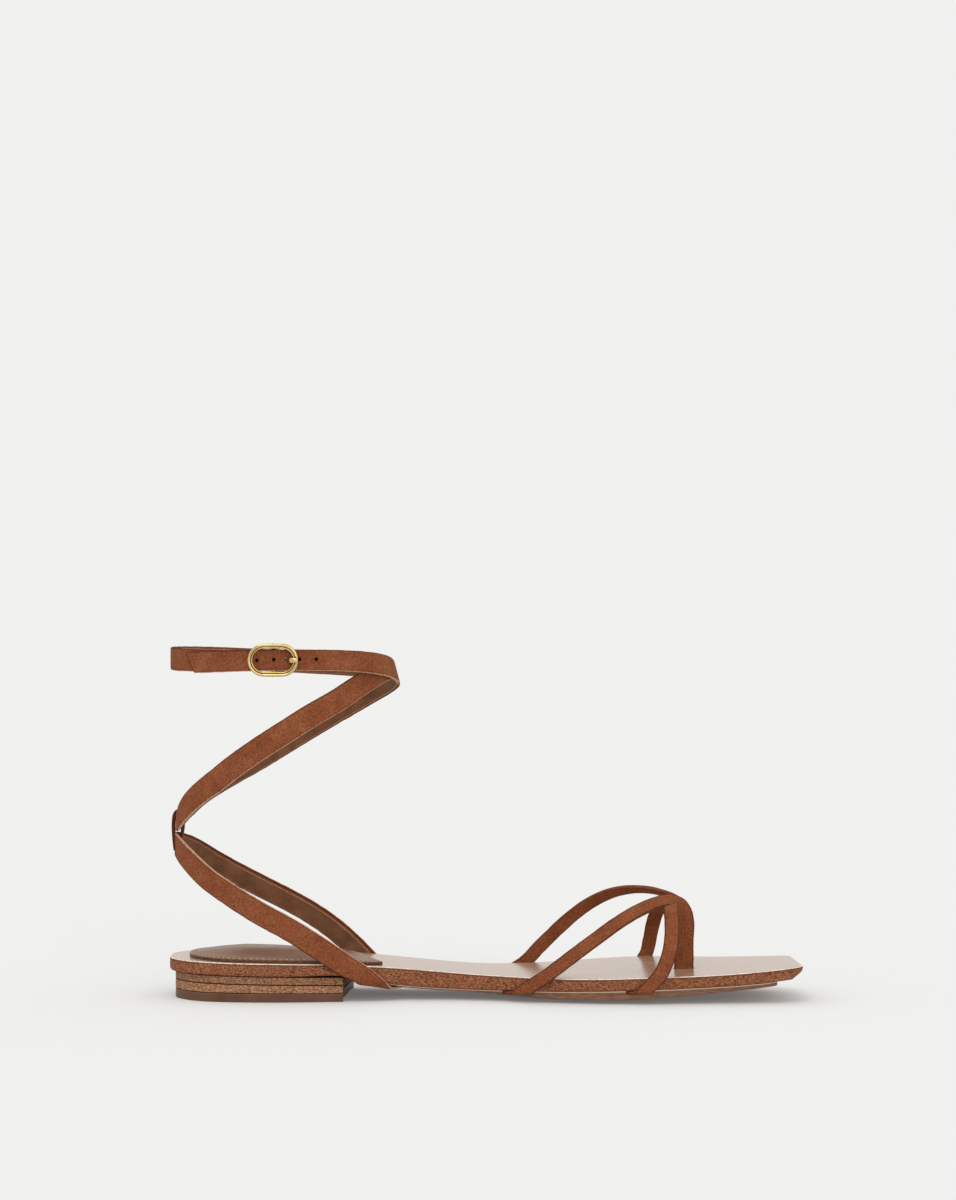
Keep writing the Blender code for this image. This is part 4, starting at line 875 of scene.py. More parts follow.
def pad_edges(count):
    """The pad's plan: (medial x, y, lateral x, y) along the shoe."""
    medial, lateral = outline_sections(1.0)
    rows = []
    for i in range(count):
        u = 0.5 - 0.5 * math.cos(math.pi * i / (count - 1))
        xm = PAD_REAR + (PAD_FRONT_MEDIAL - PAD_REAR) * u
        xl = PAD_REAR + (PAD_FRONT_LATERAL - PAD_REAR) * u
        ym = float(np.interp(xm, medial[:, 0], medial[:, 1])) + PAD_MARGIN
        yl = float(np.interp(xl, lateral[:, 0], lateral[:, 1])) - PAD_MARGIN
        rear = min(1.0, (xm - PAD_REAR) / 24.0)
        front = ease((PAD_FRONT_MEDIAL - xm) / 9.0)
        pull = 1 - math.sqrt(max(0.0, 1 - (1 - rear) ** 2))
        pull_front = 1 - math.sqrt(max(0.0, 1 - (1 - front) ** 2))
        ym += 13.0 * pull + 4.5 * pull_front
        yl -= 13.0 * pull + 5.5 * pull_front
        rows.append((xm, ym, xl, yl))
    return np.array(rows)


def pad_rim(rows):
    """Closed rim of the pad, evenly spaced."""
    rim = [tuple(r[:2]) for r in rows] + [tuple(r[2:]) for r in rows[::-1]]
    rim = np.array(rim + rim[:1])
    steps = np.concatenate([[0.0], np.cumsum(np.linalg.norm(np.diff(rim, axis=0), axis=1))])
    marks = np.arange(0.0, steps[-1], 0.5)
    return np.stack([np.interp(marks, steps, rim[:, 0]), np.interp(marks, steps, rim[:, 1])], axis=1)


def pad_height(x, y, s, gap):
    """Height of the pad's top at (x, y), s across it and gap from its rim."""
    side = ease(min(s, 1 - s) / 0.42)
    crown = float(np.interp(x, [row[0] for row in CROWN], [row[1] for row in CROWN]))
    z = height("seat", x) + GAP + PAD_EDGE + crown * side
    round_off = max(0.0, 1 - gap / 0.55)
    z -= 0.5 * (1 - math.sqrt(max(0.0, 1 - round_off**2)))
    z -= 0.30 * math.exp(-(((gap - STITCH_INSET) / 0.5) ** 2))
    z += 0.10 * math.exp(-(((gap - STITCH_INSET - 1.3) / 0.8) ** 2))
    z += 0.05 * wobble(x, y, 0.0, 9.0) * min(1.0, gap / 5.0)
    return z


def make_heel_pad(materials):
    count = 91
    rows = pad_edges(count)
    rim = pad_rim(rows)
    across = []
    for k in range(61):
        t = k / 60
        across.append(0.5 * t + 0.5 * (0.5 - 0.5 * math.cos(math.pi * t)))
    n = len(across)
    vertices, depth = [], []
    for layer in (0, 1):
        for xm, ym, xl, yl in rows:
            for s in across:
                x, y = xm + (xl - xm) * s, ym + (yl - ym) * s
                if layer == 0:
                    vertices.append((x, y, height("seat", x) + 0.05))
                    depth.append((0.0, 0.0))
                    continue
                gap = float(np.min(np.hypot(rim[:, 0] - x, rim[:, 1] - y)))
                vertices.append((x, y, pad_height(x, y, s, gap)))
                depth.append((gap, 1.0))
    top = len(rows) * n
    faces = []
    for i in range(len(rows) - 1):
        for k in range(n - 1):
            a = i * n + k
            faces.append((a, a + 1, a + n + 1, a + n))
            faces.append((top + a, top + a + 1, top + a + n + 1, top + a + n))
    ring = [(i, 0) for i in range(len(rows))] + [(len(rows) - 1, k) for k in range(1, n)]
    ring += [(i, n - 1) for i in range(len(rows) - 2, -1, -1)] + [(0, k) for k in range(n - 2, 0, -1)]
    for (i, k), (j, m) in zip(ring, ring[1:] + ring[:1]):
        a, b = i * n + k, j * n + m
        faces.append((a, b, top + b, top + a))
    return new_mesh("heel_pad_detail", vertices, faces, materials, None, {"depth": depth}, 45.0)


def make_stitches(materials):
    """A row of stitches sunk in the channel round the pad."""
    rows = pad_edges(181)
    rim = pad_rim(rows)
    ahead, behind = np.roll(rim, -2, axis=0), np.roll(rim, 2, axis=0)
    along = ahead - behind
    along /= np.maximum(1e-6, np.linalg.norm(along, axis=1))[:, None]
    inward = np.stack([-along[:, 1], along[:, 0]], axis=1)
    if ((rim.mean(axis=0) - rim) * inward).sum() < 0:
        inward = -inward
    line = rim + inward * STITCH_INSET
    keep = [i for i, p in enumerate(line) if np.min(np.hypot(rim[:, 0] - p[0], rim[:, 1] - p[1])) > STITCH_INSET - 0.12]
    line = line[keep]
    steps = np.concatenate([[0.0], np.cumsum(np.linalg.norm(np.diff(line, axis=0), axis=1))])
    pitch, length, radius = 2.3, 1.6, 0.34
    vertices, faces = [], []
    for number in range(int(steps[-1] / pitch)):
        start = number * pitch
        rings = []
        for share in (0.0, 0.12, 0.3, 0.5, 0.7, 0.88, 1.0):
            d = start + length * share
            x, y = float(np.interp(d, steps, line[:, 0])), float(np.interp(d, steps, line[:, 1]))
            ax = float(np.interp(d + 0.3, steps, line[:, 0])) - float(np.interp(d - 0.3, steps, line[:, 0]))
            ay = float(np.interp(d + 0.3, steps, line[:, 1])) - float(np.interp(d - 0.3, steps, line[:, 1]))
            a = unit(np.array((ax, ay, 0.0)) + (1e-9, 0, 0))
            side = np.array((-a[1], a[0], 0.0))
            edge_m = np.interp(x, rows[:, 0], rows[:, 1])
            edge_l = np.interp(x, rows[:, 2], rows[:, 3]) if x < PAD_FRONT_LATERAL else rows[-1, 3]
            s = min(1.0, max(0.0, (y - edge_m) / max(1.0, edge_l - edge_m)))
            z = pad_height(x, y, s, STITCH_INSET) + 0.24 * math.sin(math.pi * share) - 0.02
            r = radius * (0.35 + 0.65 * math.sin(math.pi * min(1.0, max(0.0, share))) ** 0.5)
            rings.append((np.array((x, y, z)), side, r))
        base = len(vertices)
        sides = 8
        for centre, side, r in rings:
            for k in range(sides):
                angle = 2 * math.pi * k / sides
                vertices.append(tuple(centre + side * (r * math.cos(angle)) + np.array((0, 0, r * math.sin(angle)))))
        for i in range(len(rings) - 1):
            for k in range(sides):
                a, b = base + i * sides + k, base + i * sides + (k + 1) % sides
                faces.append((a, b, b + sides, a + sides))
        faces.append(tuple(base + k for k in range(sides)))
        faces.append(tuple(base + (len(rings) - 1) * sides + k for k in range(sides)))
    return new_mesh("heel_pad_stitches", vertices, faces, materials, None, None, 60.0)


# --- ankle strap ------------------------------------------------------------
def oval_point(turn, z, out):
    angle = math.radians(turn)
    return np.array((
        OVAL_X - (OVAL_LONG + out) * math.cos(angle),
        -(OVAL_WIDE + out) * math.sin(angle),
        z,
    ))


def oval_normal(turn):
    angle = math.radians(turn)
    return unit(np.array((-math.cos(angle) / OVAL_LONG, -math.sin(angle) / OVAL_WIDE, 0.0)))


def ankle_rows(step):
    rows = np.array(WIND)
    fine = smooth_rows(rows, np.diff(rows[:, 0]), step)
    out = []
    for turn, z, off, lean, w in fine:
        x, y, z = oval_point(turn, z, off)
        nx, ny, nz = oval_normal(turn)
        out.append((x, y, z, nx, ny, nz + lean, w))
    half = ANKLE_STRAP / 2
    reach = BAR_WIRE + GAP + half
    w = 8.2
    for degrees in range(-90, 91, 12):
        a = math.radians(degrees)
        out.append((
            BUCKLE_X + reach * math.cos(a), BAR_Y + reach * math.sin(a), BUCKLE_Z,
            math.cos(a), math.sin(a), 0.0, w,
        ))
    for k in range(1, 11):
        share = k / 10
        x = BUCKLE_X - FOLD_LENGTH * share
        outer = -(OVAL_WIDE) * math.sqrt(1 - ((x - OVAL_X) / OVAL_LONG) ** 2)
        y = max(outer + ANKLE_STRAP + 0.4, BAR_Y + reach - 0.9 * share)
        out.append((x, y, BUCKLE_Z - 0.3 * share, 0.06, 1.0, 0.0, w))
    return np.array(out)


# Turned suede on the inside, along the upper and the lower edge.
ANKLE_MARGINS = (0.9, 0.5)
HEEL_MARGINS = (0.45, 1.7)  # lower, upper

# Punched holes: place along the shoe, height and radius.
HOLE_COLUMNS = ("x", "z", "radius")
HOLES = (
    (-94.4, 133.2, 0.22),
    (-85.7, 133.35, 0.74),
    (-79.1, 133.7, 0.74),
    (-69.1, 133.75, 0.74),
    (-62.7, 133.8, 0.72),
)


def make_ankle_strap(materials):
    fine = ankle_rows(1.5)
    frames = ribbon_frames(fine, ANKLE_STRAP)
    coarse = ankle_rows(TURN_STEP)
    first_step = float(np.linalg.norm(coarse[1][:3] - coarse[0][:3]))
    along = unit(fine[1][:3] - fine[0][:3])
    slant = FREE_TIP_SLANT / fine[0][6]
    obj = strap_mesh("ankle_strap_detail", frames, True, 3.0, materials, ANKLE_MARGINS, (0.2, 1.0), (0.17, 0.43))
    n = len(band_section(8.0, 1.5, True))
    lower = 1.0 if frames[0][1][2] < 0 else -1.0
    reach = 0.0
    for i in range(1, len(frames)):
        share = 1 - reach / first_step
        if share <= 0:
            break
        here = unit(fine[i][:3] - fine[i - 1][:3])
        for k, (u, v, e) in enumerate(band_section(fine[i - 1][6], ANKLE_STRAP, True, ANKLE_MARGINS)):
            obj.data.vertices[(i - 1) * n + k].co += Vector(tuple(here * (lower * u * slant * share * MM)))
        reach += float(np.linalg.norm(fine[i][:3] - fine[i - 1][:3]))
    cutters = [tube(
        "prong_hole",
        [
            (PRONG_HOLE_X + 1.0, -33.6, BUCKLE_Z), (PRONG_HOLE_X + 0.2, -31.2, BUCKLE_Z + 0.001),
            (PRONG_HOLE_X - 0.2, -29.9, BUCKLE_Z), (PRONG_HOLE_X - 0.6, -28.4, BUCKLE_Z),
        ],
        0.78, [], sides=24, index=3,
    )]
    for number, (x, z, radius) in enumerate(HOLES):
        y = -(OVAL_WIDE + OUTER_TURN) * math.sqrt(1 - ((x - OVAL_X) / (OVAL_LONG + OUTER_TURN)) ** 2)
        cutters.append(tube(
            f"hole_{number}", [(x, y - 2.0, z), (x, y - 0.5, z + 0.001), (x, y + 0.52, z)], radius, [], sides=20, index=3,
        ))
    cutters.append(block(
        "fold_slot", (BUCKLE_X - 3.2, BAR_Y - 2.6, BUCKLE_Z - 1.1), (BUCKLE_X + 4.0, BAR_Y + 3.2, BUCKLE_Z + 1.1), 3,
    ))
    return carve(obj, cutters, angle=50.0)


# --- buckle -----------------------------------------------------------------
def rounded_path(points, radius, steps=6):
    points = [np.array(p, float) for p in points]
    out = [points[0]]
    for before, corner, after in zip(points, points[1:], points[2:]):
        a, b = unit(before - corner), unit(after - corner)
        cut = min(radius, 0.45 * np.linalg.norm(before - corner), 0.45 * np.linalg.norm(after - corner))
        p, q = corner + a * cut, corner + b * cut
        for k in range(steps + 1):
            t = k / steps
            out.append((1 - t) ** 2 * p + 2 * t * (1 - t) * corner + t**2 * q)
    out.append(points[-1])
    return out


# Section of the oval: outward from its middle line, and towards the wearer's
# outside. A rounded outer rim, a groove, and a lower inner rim.
BAND_COLUMNS = ("outward", "height")
BAND = (
    (0.98, -0.1), (0.97, 0.28), (0.87, 0.60), (0.66, 0.80), (0.36, 0.84), (0.10, 0.78),
    (-0.12, 0.60), (-0.24, 0.38), (-0.34, 0.36), (-0.44, 0.52), (-0.56, 0.60), (-0.72, 0.58),
    (-0.88, 0.44), (-0.96, 0.2), (-0.98, -0.1), (-0.93, -0.5), (-0.72, -0.76), (-0.4, -0.84),
    (0.4, -0.84), (0.72, -0.76), (0.93, -0.5),
)


def make_buckle(materials):
    radius = BUCKLE_HEIGHT / 2 - FRAME_WIRE
    straight = (BUCKLE_LENGTH - BUCKLE_HEIGHT) / 2
    path = []
    for side in (1, -1):
        for k in range(37):
            a = math.radians(-90 + 5 * k)
            path.append((
                BUCKLE_X + side * (straight + radius * math.cos(a)), FRAME_Y, BUCKLE_Z + side * radius * math.sin(a),
            ))
        for k in range(1, 6):  # the straight run
            path.append((
                BUCKLE_X + side * straight * (1 - k / 3), FRAME_Y, BUCKLE_Z + side * radius,
            ))
    # The normal of the path points to +Y or -Y by its direction; the rim faces -Y.
    points = np.array(path)
    normal, middle = np.zeros(3), points.mean(axis=0)
    for a, b in zip(points, points[1:]):
        normal += np.cross(a - middle, b - middle)
    face = -1.0 if normal[1] > 0 else 1.0
    outward = 1.0
    along = unit(points[1] - points[-1])
    if np.dot(np.cross(along, unit(normal)), points[0] - middle) < 0:
        outward = -1.0
    section = [(outward * r, face * d) for r, d in BAND]
    obj = tube("buckle_frame_detail", points, 1.0, materials, closed=True, section=section)
    # Faces 6 to 8 of the section, in the groove, take the darker brass: painted shade.
    obj.data.polygons.foreach_set(
        "material_index", [1 if i % len(section) in (6, 7, 8) else 0 for i in range(len(obj.data.polygons))]
    )
    bar_path = rounded_path(
        [
            (BUCKLE_X, FRAME_Y, BUCKLE_Z + radius + 0.3),
            (BUCKLE_X, BAR_Y, BUCKLE_Z + radius + 0.3),
            (BUCKLE_X, BAR_Y, BUCKLE_Z - radius - 0.3),
            (BUCKLE_X, FRAME_Y, BUCKLE_Z - radius - 0.3),
        ],
        0.9,
    )
    bar = tube("centre_bar", bar_path, BAR_WIRE, [], sides=16)
    return carve(obj, [bar], "UNION", 45.0)


def make_prong(materials):
    path = []
    for degrees in range(-35, 271, 15):
        a = math.radians(degrees)
        path.append((BUCKLE_X + EYE_RADIUS * math.cos(a), BAR_Y + EYE_RADIUS * math.sin(a), BUCKLE_Z))
    tail = [
        (BUCKLE_X + 1.0, BAR_Y - EYE_RADIUS), (BUCKLE_X + 3.4, BAR_Y - EYE_RADIUS - 0.1), (BUCKLE_X + 4.6, BAR_Y - EYE_RADIUS - 0.6),
        (BUCKLE_X + 5.2, -29.9), (BUCKLE_X + 5.6, -31.2), (BUCKLE_X + 6.3, -32.7),
        (BUCKLE_X + 7.2, -33.9), (BUCKLE_X + 8.6, -34.3), (BUCKLE_X + 9.7, -34.25),
    ]
    rows = [(x, y, BUCKLE_Z, 0.0, 0.0, 0.0) for x, y in tail]
    fine = smooth_rows(rows, np.linalg.norm(np.diff(np.array(rows)[:, :3], axis=0), axis=1), 0.25)
    path += [tuple(p[:3]) for p in fine]
    points = np.array(path)
    left = np.linalg.norm(points[-1] - points, axis=1)
    last = np.concatenate([np.cumsum(np.linalg.norm(np.diff(points, axis=0), axis=1)[::-1])[::-1], [0.0]])
    # Flattened and broader where it lies on the frame, with a rounded tip.
    ends = []
    for d in last:
        tip = max(0.25, math.sqrt(max(0.0, 1 - max(0.0, 1 - d / 0.55) ** 2)))
        ends.append((tip, tip * (1.0 + 0.75 * ease((4.6 - d) / 0.8) * (1 - 0.25 * ease((2.0 - d) / 2.0)))))
    return tube("buckle_prong_detail", points, PRONG_WIRE, materials, sides=16, ends=ends)


# --- materials --------------------------------------------------------------
class Recipe:
    """A Principled material with a few short ways to wire textures."""

    def __init__(self, name):
        self.material = bpy.data.materials.new(name)
        self.material.use_nodes = True
        self.tree = self.material.node_tree
        self.shader = self.tree.nodes["Principled BSDF"]
        self.place = self.tree.nodes.new("ShaderNodeTexCoord").outputs["Object"]

    def put(self, socket, value):
        self.tree.links.new(value, socket) if hasattr(value, "links") else setattr(socket, "default_value", value)

    def scaled(self, x, y, z):
        node = self.tree.nodes.new("ShaderNodeVectorMath")
        node.operation = "MULTIPLY"
        self.tree.links.new(self.place, node.inputs[0])
        node.inputs[1].default_value = (x, y, z)
        return node.outputs[0]

    def noise(self, scale, detail=4.0, rough=0.55, where=None, bend=0.0):
        node = self.tree.nodes.new("ShaderNodeTexNoise")
        self.put(node.inputs["Vector"], where if where is not None else self.place)
        node.inputs["Scale"].default_value = scale
        node.inputs["Detail"].default_value = detail
        node.inputs["Roughness"].default_value = rough
        node.inputs["Distortion"].default_value = bend
        return node.outputs[0]

    def cells(self, scale, where=None):
        node = self.tree.nodes.new("ShaderNodeTexVoronoi")
        node.feature = "F1"
        self.put(node.inputs["Vector"], where if where is not None else self.place)
        node.inputs["Scale"].default_value = scale
        return node.outputs["Distance"]

    def layer(self, name, axis):
        uv = self.tree.nodes.new("ShaderNodeUVMap")
        uv.uv_map = name
        split = self.tree.nodes.new("ShaderNodeSeparateXYZ")
        self.tree.links.new(uv.outputs[0], split.inputs[0])
        return split.outputs[axis]

    def math(self, operation, a, b=0.0, clamp=False):
        node = self.tree.nodes.new("ShaderNodeMath")
        node.operation, node.use_clamp = operation, clamp
        self.put(node.inputs[0], a)
        self.put(node.inputs[1], b)
        return node.outputs[0]

    def between(self, value, low, high):
        """0 at low, 1 at high, smooth."""
        node = self.tree.nodes.new("ShaderNodeMapRange")
        node.interpolation_type = "SMOOTHSTEP"
        self.put(node.inputs["Value"], value)
        node.inputs["From Min"].default_value = low
        node.inputs["From Max"].default_value = high
        return node.outputs[0]

    def ramp(self, value, *stops):
        node = self.tree.nodes.new("ShaderNodeValToRGB")
        elements = node.color_ramp.elements
        while len(elements) < len(stops):
            elements.new(0.5)
        for element, (at, colour) in zip(elements, stops):
            element.position = at
            element.color = (*colour, 1.0)
        self.put(node.inputs[0], value)
        return node.outputs[0]

    def mix(self, share, a, b, way="MIX"):
        node = self.tree.nodes.new("ShaderNodeMix")
        node.data_type, node.blend_type = "RGBA", way
        self.put(node.inputs[0], share)
        for socket, value in ((node.inputs[6], a), (node.inputs[7], b)):
            self.put(socket, (*value, 1.0) if isinstance(value, tuple) else value)
        return node.outputs[2]

    def bump(self, height_value, strength, distance, onto=None):
        node = self.tree.nodes.new("ShaderNodeBump")
        node.inputs["Strength"].default_value = strength
        node.inputs["Distance"].default_value = distance
        self.put(node.inputs["Height"], height_value)
        if onto is not None:
            self.put(node.inputs["Normal"], onto)
        return node.outputs[0]

    def finish(self, colour, roughness, normal=None, **constants):
        self.put(self.shader.inputs["Base Color"], (*colour, 1.0) if isinstance(colour, tuple) else colour)
        self.put(self.shader.inputs["Roughness"], roughness)
        if normal is not None:
            self.put(self.shader.inputs["Normal"], normal)
        for name, value in constants.items():
            self.shader.inputs[name.replace("_", " ")].default_value = value
        return self.material


def suede_material():
    r = Recipe("suede")
    patch = r.noise(95.0, 3.0, 0.6)
    nap = r.noise(1450.0, 4.0, 0.7)
    fuzz = r.noise(3000.0, 3.0, 0.7)
    tone = r.math("ADD", r.math("MULTIPLY", patch, 0.30), r.math("MULTIPLY", nap, 0.70))
    colour = r.ramp(
        tone, (0.36, (0.112, 0.029, 0.010)), (0.45, (0.190, 0.054, 0.021)), (0.54, (0.240, 0.074, 0.030)),
        (0.67, (0.350, 0.132, 0.062)),
    )
    colour = r.mix(r.math("MULTIPLY", r.between(fuzz, 0.54, 0.72), 0.60), colour, (0.40, 0.165, 0.085))
    colour = r.mix(r.math("MULTIPLY", r.between(fuzz, 0.46, 0.28), 0.55), colour, (0.105, 0.028, 0.010))
    edge = r.layer("edge", 0)
    # Pale line along the strap edges: partly the raw cut edge's own colour, partly a painted highlight.
    cut_edge_and_highlight = r.math("MULTIPLY", r.between(edge, 0.42, 0.80), r.between(nap, 0.28, 0.55))
    colour = r.mix(r.math("MULTIPLY", cut_edge_and_highlight, 0.85), colour, (0.60, 0.36, 0.25))
    # Painted shade: a dark line where the turned edge begins, standing in for the shadow along the strap edges and
    # between overlapping straps.
    edge_shade_line = r.math("SUBTRACT", 1.0, r.between(r.math("ABSOLUTE", r.math("SUBTRACT", edge, 0.20)), 0.02, 0.14))
    colour = r.mix(r.math("MULTIPLY", edge_shade_line, 0.85), colour, (0.060, 0.016, 0.006))
    reach = r.layer("strap", 1)
    # Painted shade: darker for the first half millimetre of each strap, where the free tip's cut end steps over the
    # strap beneath.
    tip = r.math("MULTIPLY", r.math("SUBTRACT", 1.0, r.between(reach, 0.25, 0.55)), r.between(reach, -0.1, 0.0))
    colour = r.mix(r.math("MULTIPLY", tip, 0.8), colour, (0.085, 0.026, 0.012))
    first = r.bump(fuzz, 0.60, 0.00022)
    normal = r.bump(nap, 0.45, 0.00035, first)
    return r.finish(
        colour, 0.95, normal, Specular_IOR_Level=0.08, Sheen_Weight=0.06, Sheen_Roughness=0.5,
        Sheen_Tint=(0.95, 0.55, 0.35, 1.0),
    )


def lining_material():
    r = Recipe("lining")
    patch = r.noise(140.0, 3.0, 0.5)
    grain = r.cells(1500.0)
    wrinkle = r.noise(520.0, 4.0, 0.6)
    colour = r.ramp(patch, (0.3, (0.105, 0.040, 0.015)), (0.5, (0.142, 0.056, 0.022)), (0.7, (0.180, 0.076, 0.032)))
    colour = r.mix(r.math("MULTIPLY", r.between(wrinkle, 0.52, 0.75), 0.30), colour, (0.25, 0.12, 0.06))
    normal = r.bump(wrinkle, 0.25, 0.0002, r.bump(grain, 0.3, 0.00008))
    return r.finish(colour, 0.5, normal, Specular_IOR_Level=0.18)


def cut_material():
    r = Recipe("cut_edge")
    fine = r.noise(1800.0, 3.0, 0.6)
    colour = r.ramp(fine, (0.3, (0.36, 0.19, 0.11)), (0.62, (0.66, 0.43, 0.30)))
    return r.finish(colour, 0.8, r.bump(fine, 0.3, 0.0001), Specular_IOR_Level=0.2)


def hole_shade_material():
    # Near black walls inside the punched holes, the prong hole and the fold slot: painted shade.
    r = Recipe("hole_wall_shade")
    fine = r.noise(2200.0, 2.0, 0.5)
    colour = r.ramp(fine, (0.3, (0.010, 0.005, 0.004)), (0.7, (0.040, 0.018, 0.010)))
    return r.finish(colour, 0.95, None, Specular_IOR_Level=0.05)


def board_top_material():
    r = Recipe("board_top")
    patch = r.noise(45.0, 4.0, 0.55, bend=0.3)
    speck = r.noise(1500.0, 3.0, 0.6)
    pores = r.cells(1900.0)
    colour = r.ramp(patch, (0.30, (0.40, 0.252, 0.170)), (0.52, (0.43, 0.275, 0.190)), (0.72, (0.47, 0.305, 0.213)))
    colour = r.mix(r.math("MULTIPLY", r.between(speck, 0.55, 0.72), 0.35), colour, (0.30, 0.145, 0.08))
    rough = r.math("ADD", r.math("MULTIPLY", patch, 0.10), 0.17)
    normal = r.bump(patch, 0.05, 0.0006, r.bump(pores, 0.10, 0.00005))
    return r.finish(colour, rough, normal, Specular_IOR_Level=0.6, Coat_Weight=0.15, Coat_Roughness=0.2)


def rim_highlight_material():
    # The board's rounded upper edge in near white: a painted highlight along the edge.
    r = Recipe("board_rim_highlight")
    fine = r.noise(700.0, 4.0, 0.6)
    colour = r.ramp(fine, (0.32, (0.50, 0.34, 0.25)), (0.50, (0.80, 0.70, 0.62)), (0.7, (0.92, 0.86, 0.80)))
    return r.finish(colour, 0.3, r.bump(fine, 0.2, 0.0001), Specular_IOR_Level=0.5)


def fibre_material(name, dark, mid, light, speckle):
    """The cut edge of thick leather: short fibres lying along the layer."""
    r = Recipe(name)
    lying = r.noise(1.0, 4.0, 0.7, r.scaled(1000.0, 1000.0, 2400.0))
    grit = r.noise(1.0, 4.0, 0.8, r.scaled(2300.0, 2300.0, 3000.0))
    patch = r.noise(70.0, 2.0, 0.5)
    tone = r.math("ADD", r.math("MULTIPLY", lying, 0.45), r.math("MULTIPLY", grit, 0.55))
    colour = r.ramp(tone, (0.42, dark), (0.485, mid), (0.56, light))
    colour = r.mix(r.math("MULTIPLY", r.between(patch, 0.35, 0.7), 0.3), colour, speckle, "MULTIPLY")
    normal = r.bump(grit, 0.7, 0.00032, r.bump(lying, 0.6, 0.0003))
    return r, colour, normal


def board_edge_material():
    r, colour, normal = fibre_material(
        "board_edge", (0.035, 0.009, 0.004), (0.200, 0.056, 0.019), (0.42, 0.175, 0.085), (0.80, 0.70, 0.64),
    )
    depth = r.layer("depth", 0)
    # Burnished dark just under the top's finish.
    band = r.math("MULTIPLY", r.math("SUBTRACT", 1.0, r.between(depth, 0.75, 1.15)), r.between(depth, 0.30, 0.42))
    colour = r.mix(r.math("MULTIPLY", band, 0.6), colour, (0.120, 0.036, 0.013))
    return r.finish(colour, 0.72, normal, Specular_IOR_Level=0.2)


def lift_material(name, share):
    dark, mid, light = (0.070, 0.023, 0.009), (0.235, 0.096, 0.044), (0.50, 0.275, 0.155)
    dark, mid, light = (tuple(c * share for c in row) for row in (dark, mid, light))
    r, colour, normal = fibre_material(name, dark, mid, light, (0.85, 0.75, 0.70))
    depth = r.layer("depth", 0)
    colour = r.mix(r.math("MULTIPLY", r.math("SUBTRACT", 1.0, r.between(depth, 0.02, 0.3)), 0.6), colour, (0.075, 0.030, 0.016))
    return r.finish(colour, 0.74, normal, Specular_IOR_Level=0.2)


def under_material():
    r = Recipe("board_underside")
    grain = r.noise(900.0, 5.0, 0.6)
    colour = r.ramp(grain, (0.35, (0.20, 0.085, 0.040)), (0.65, (0.34, 0.165, 0.085)))
    return r.finish(colour, 0.7, r.bump(grain, 0.3, 0.0002))


def outsole_material():
    r = Recipe("outsole_leather")
    patch = r.noise(60.0, 3.0, 0.5)
    lying = r.noise(1.0, 4.0, 0.6, r.scaled(300.0, 300.0, 1600.0))
    grain = r.cells(1500.0)
    colour = r.ramp(lying, (0.35, (0.150, 0.068, 0.034)), (0.5, (0.200, 0.096, 0.050)), (0.66, (0.27, 0.140, 0.080)))
    colour = r.mix(r.math("MULTIPLY", patch, 0.25), colour, (0.75, 0.62, 0.55), "MULTIPLY")
    # Paler along the rounded top of the side wall, under the board: a painted highlight.
    depth = r.layer("depth", 0)
    colour = r.mix(r.math("SUBTRACT", 1.0, r.between(depth, 0.26, 0.45)), colour, (0.80, 0.60, 0.44))
    return r.finish(colour, 0.46, r.bump(lying, 0.2, 0.00012, r.bump(grain, 0.15, 0.00006)), Specular_IOR_Level=0.3)


def rubber_material():
    r = Recipe("top_piece_rubber")
    patch = r.noise(120.0, 3.0, 0.5)
    fine = r.noise(2600.0, 3.0, 0.6)
    colour = r.ramp(patch, (0.3, (0.095, 0.040, 0.020)), (0.7, (0.130, 0.058, 0.031)))
    colour = r.mix(r.math("MULTIPLY", r.between(fine, 0.5, 0.8), 0.25), colour, (0.22, 0.12, 0.08))
    depth = r.layer("depth", 0)
    colour = r.mix(r.math("MULTIPLY", r.math("SUBTRACT", 1.0, r.between(depth, 0.0, 0.3)), 0.5), colour, (0.30, 0.18, 0.12))
    return r.finish(colour, 0.5, r.bump(fine, 0.15, 0.0001), Specular_IOR_Level=0.25)


def pad_material():
    r = Recipe("pad_leather")
    patch = r.noise(60.0, 4.0, 0.55, bend=0.2)
    grain = r.cells(1300.0)
    wrinkle = r.noise(260.0, 4.0, 0.6)
    colour = r.ramp(patch, (0.3, (0.182, 0.078, 0.034)), (0.5, (0.205, 0.090, 0.040)), (0.72, (0.232, 0.105, 0.049)))
    gap = r.layer("depth", 0)
    # Painted shade: darker in the stitch channel.
    groove = r.math("SUBTRACT", 1.0, r.between(r.math("ABSOLUTE", r.math("SUBTRACT", gap, STITCH_INSET)), 0.1, 0.6))
    colour = r.mix(r.math("MULTIPLY", groove, 0.45), colour, (0.07, 0.035, 0.022))
    # Painted shade: dark on the pad's rounded rim and side wall, where its edge turns down.
    rim = r.math("SUBTRACT", 1.0, r.between(gap, 0.02, 0.25))
    colour = r.mix(r.math("MULTIPLY", rim, 0.75), colour, (0.045, 0.020, 0.013))
    normal = r.bump(wrinkle, 0.12, 0.0004, r.bump(grain, 0.22, 0.00008))
    return r.finish(colour, 0.33, normal, Specular_IOR_Level=0.15, Coat_Weight=0.02, Coat_Roughness=0.25)


def thread_material():
    r = Recipe("thread")
    twist = r.noise(1.0, 2.0, 0.5, r.scaled(3000.0, 3000.0, 3000.0))
    colour = r.ramp(twist, (0.35, (0.30, 0.165, 0.10)), (0.65, (0.58, 0.38, 0.26)))
    return r.finish(colour, 0.55, r.bump(twist, 0.4, 0.00008))


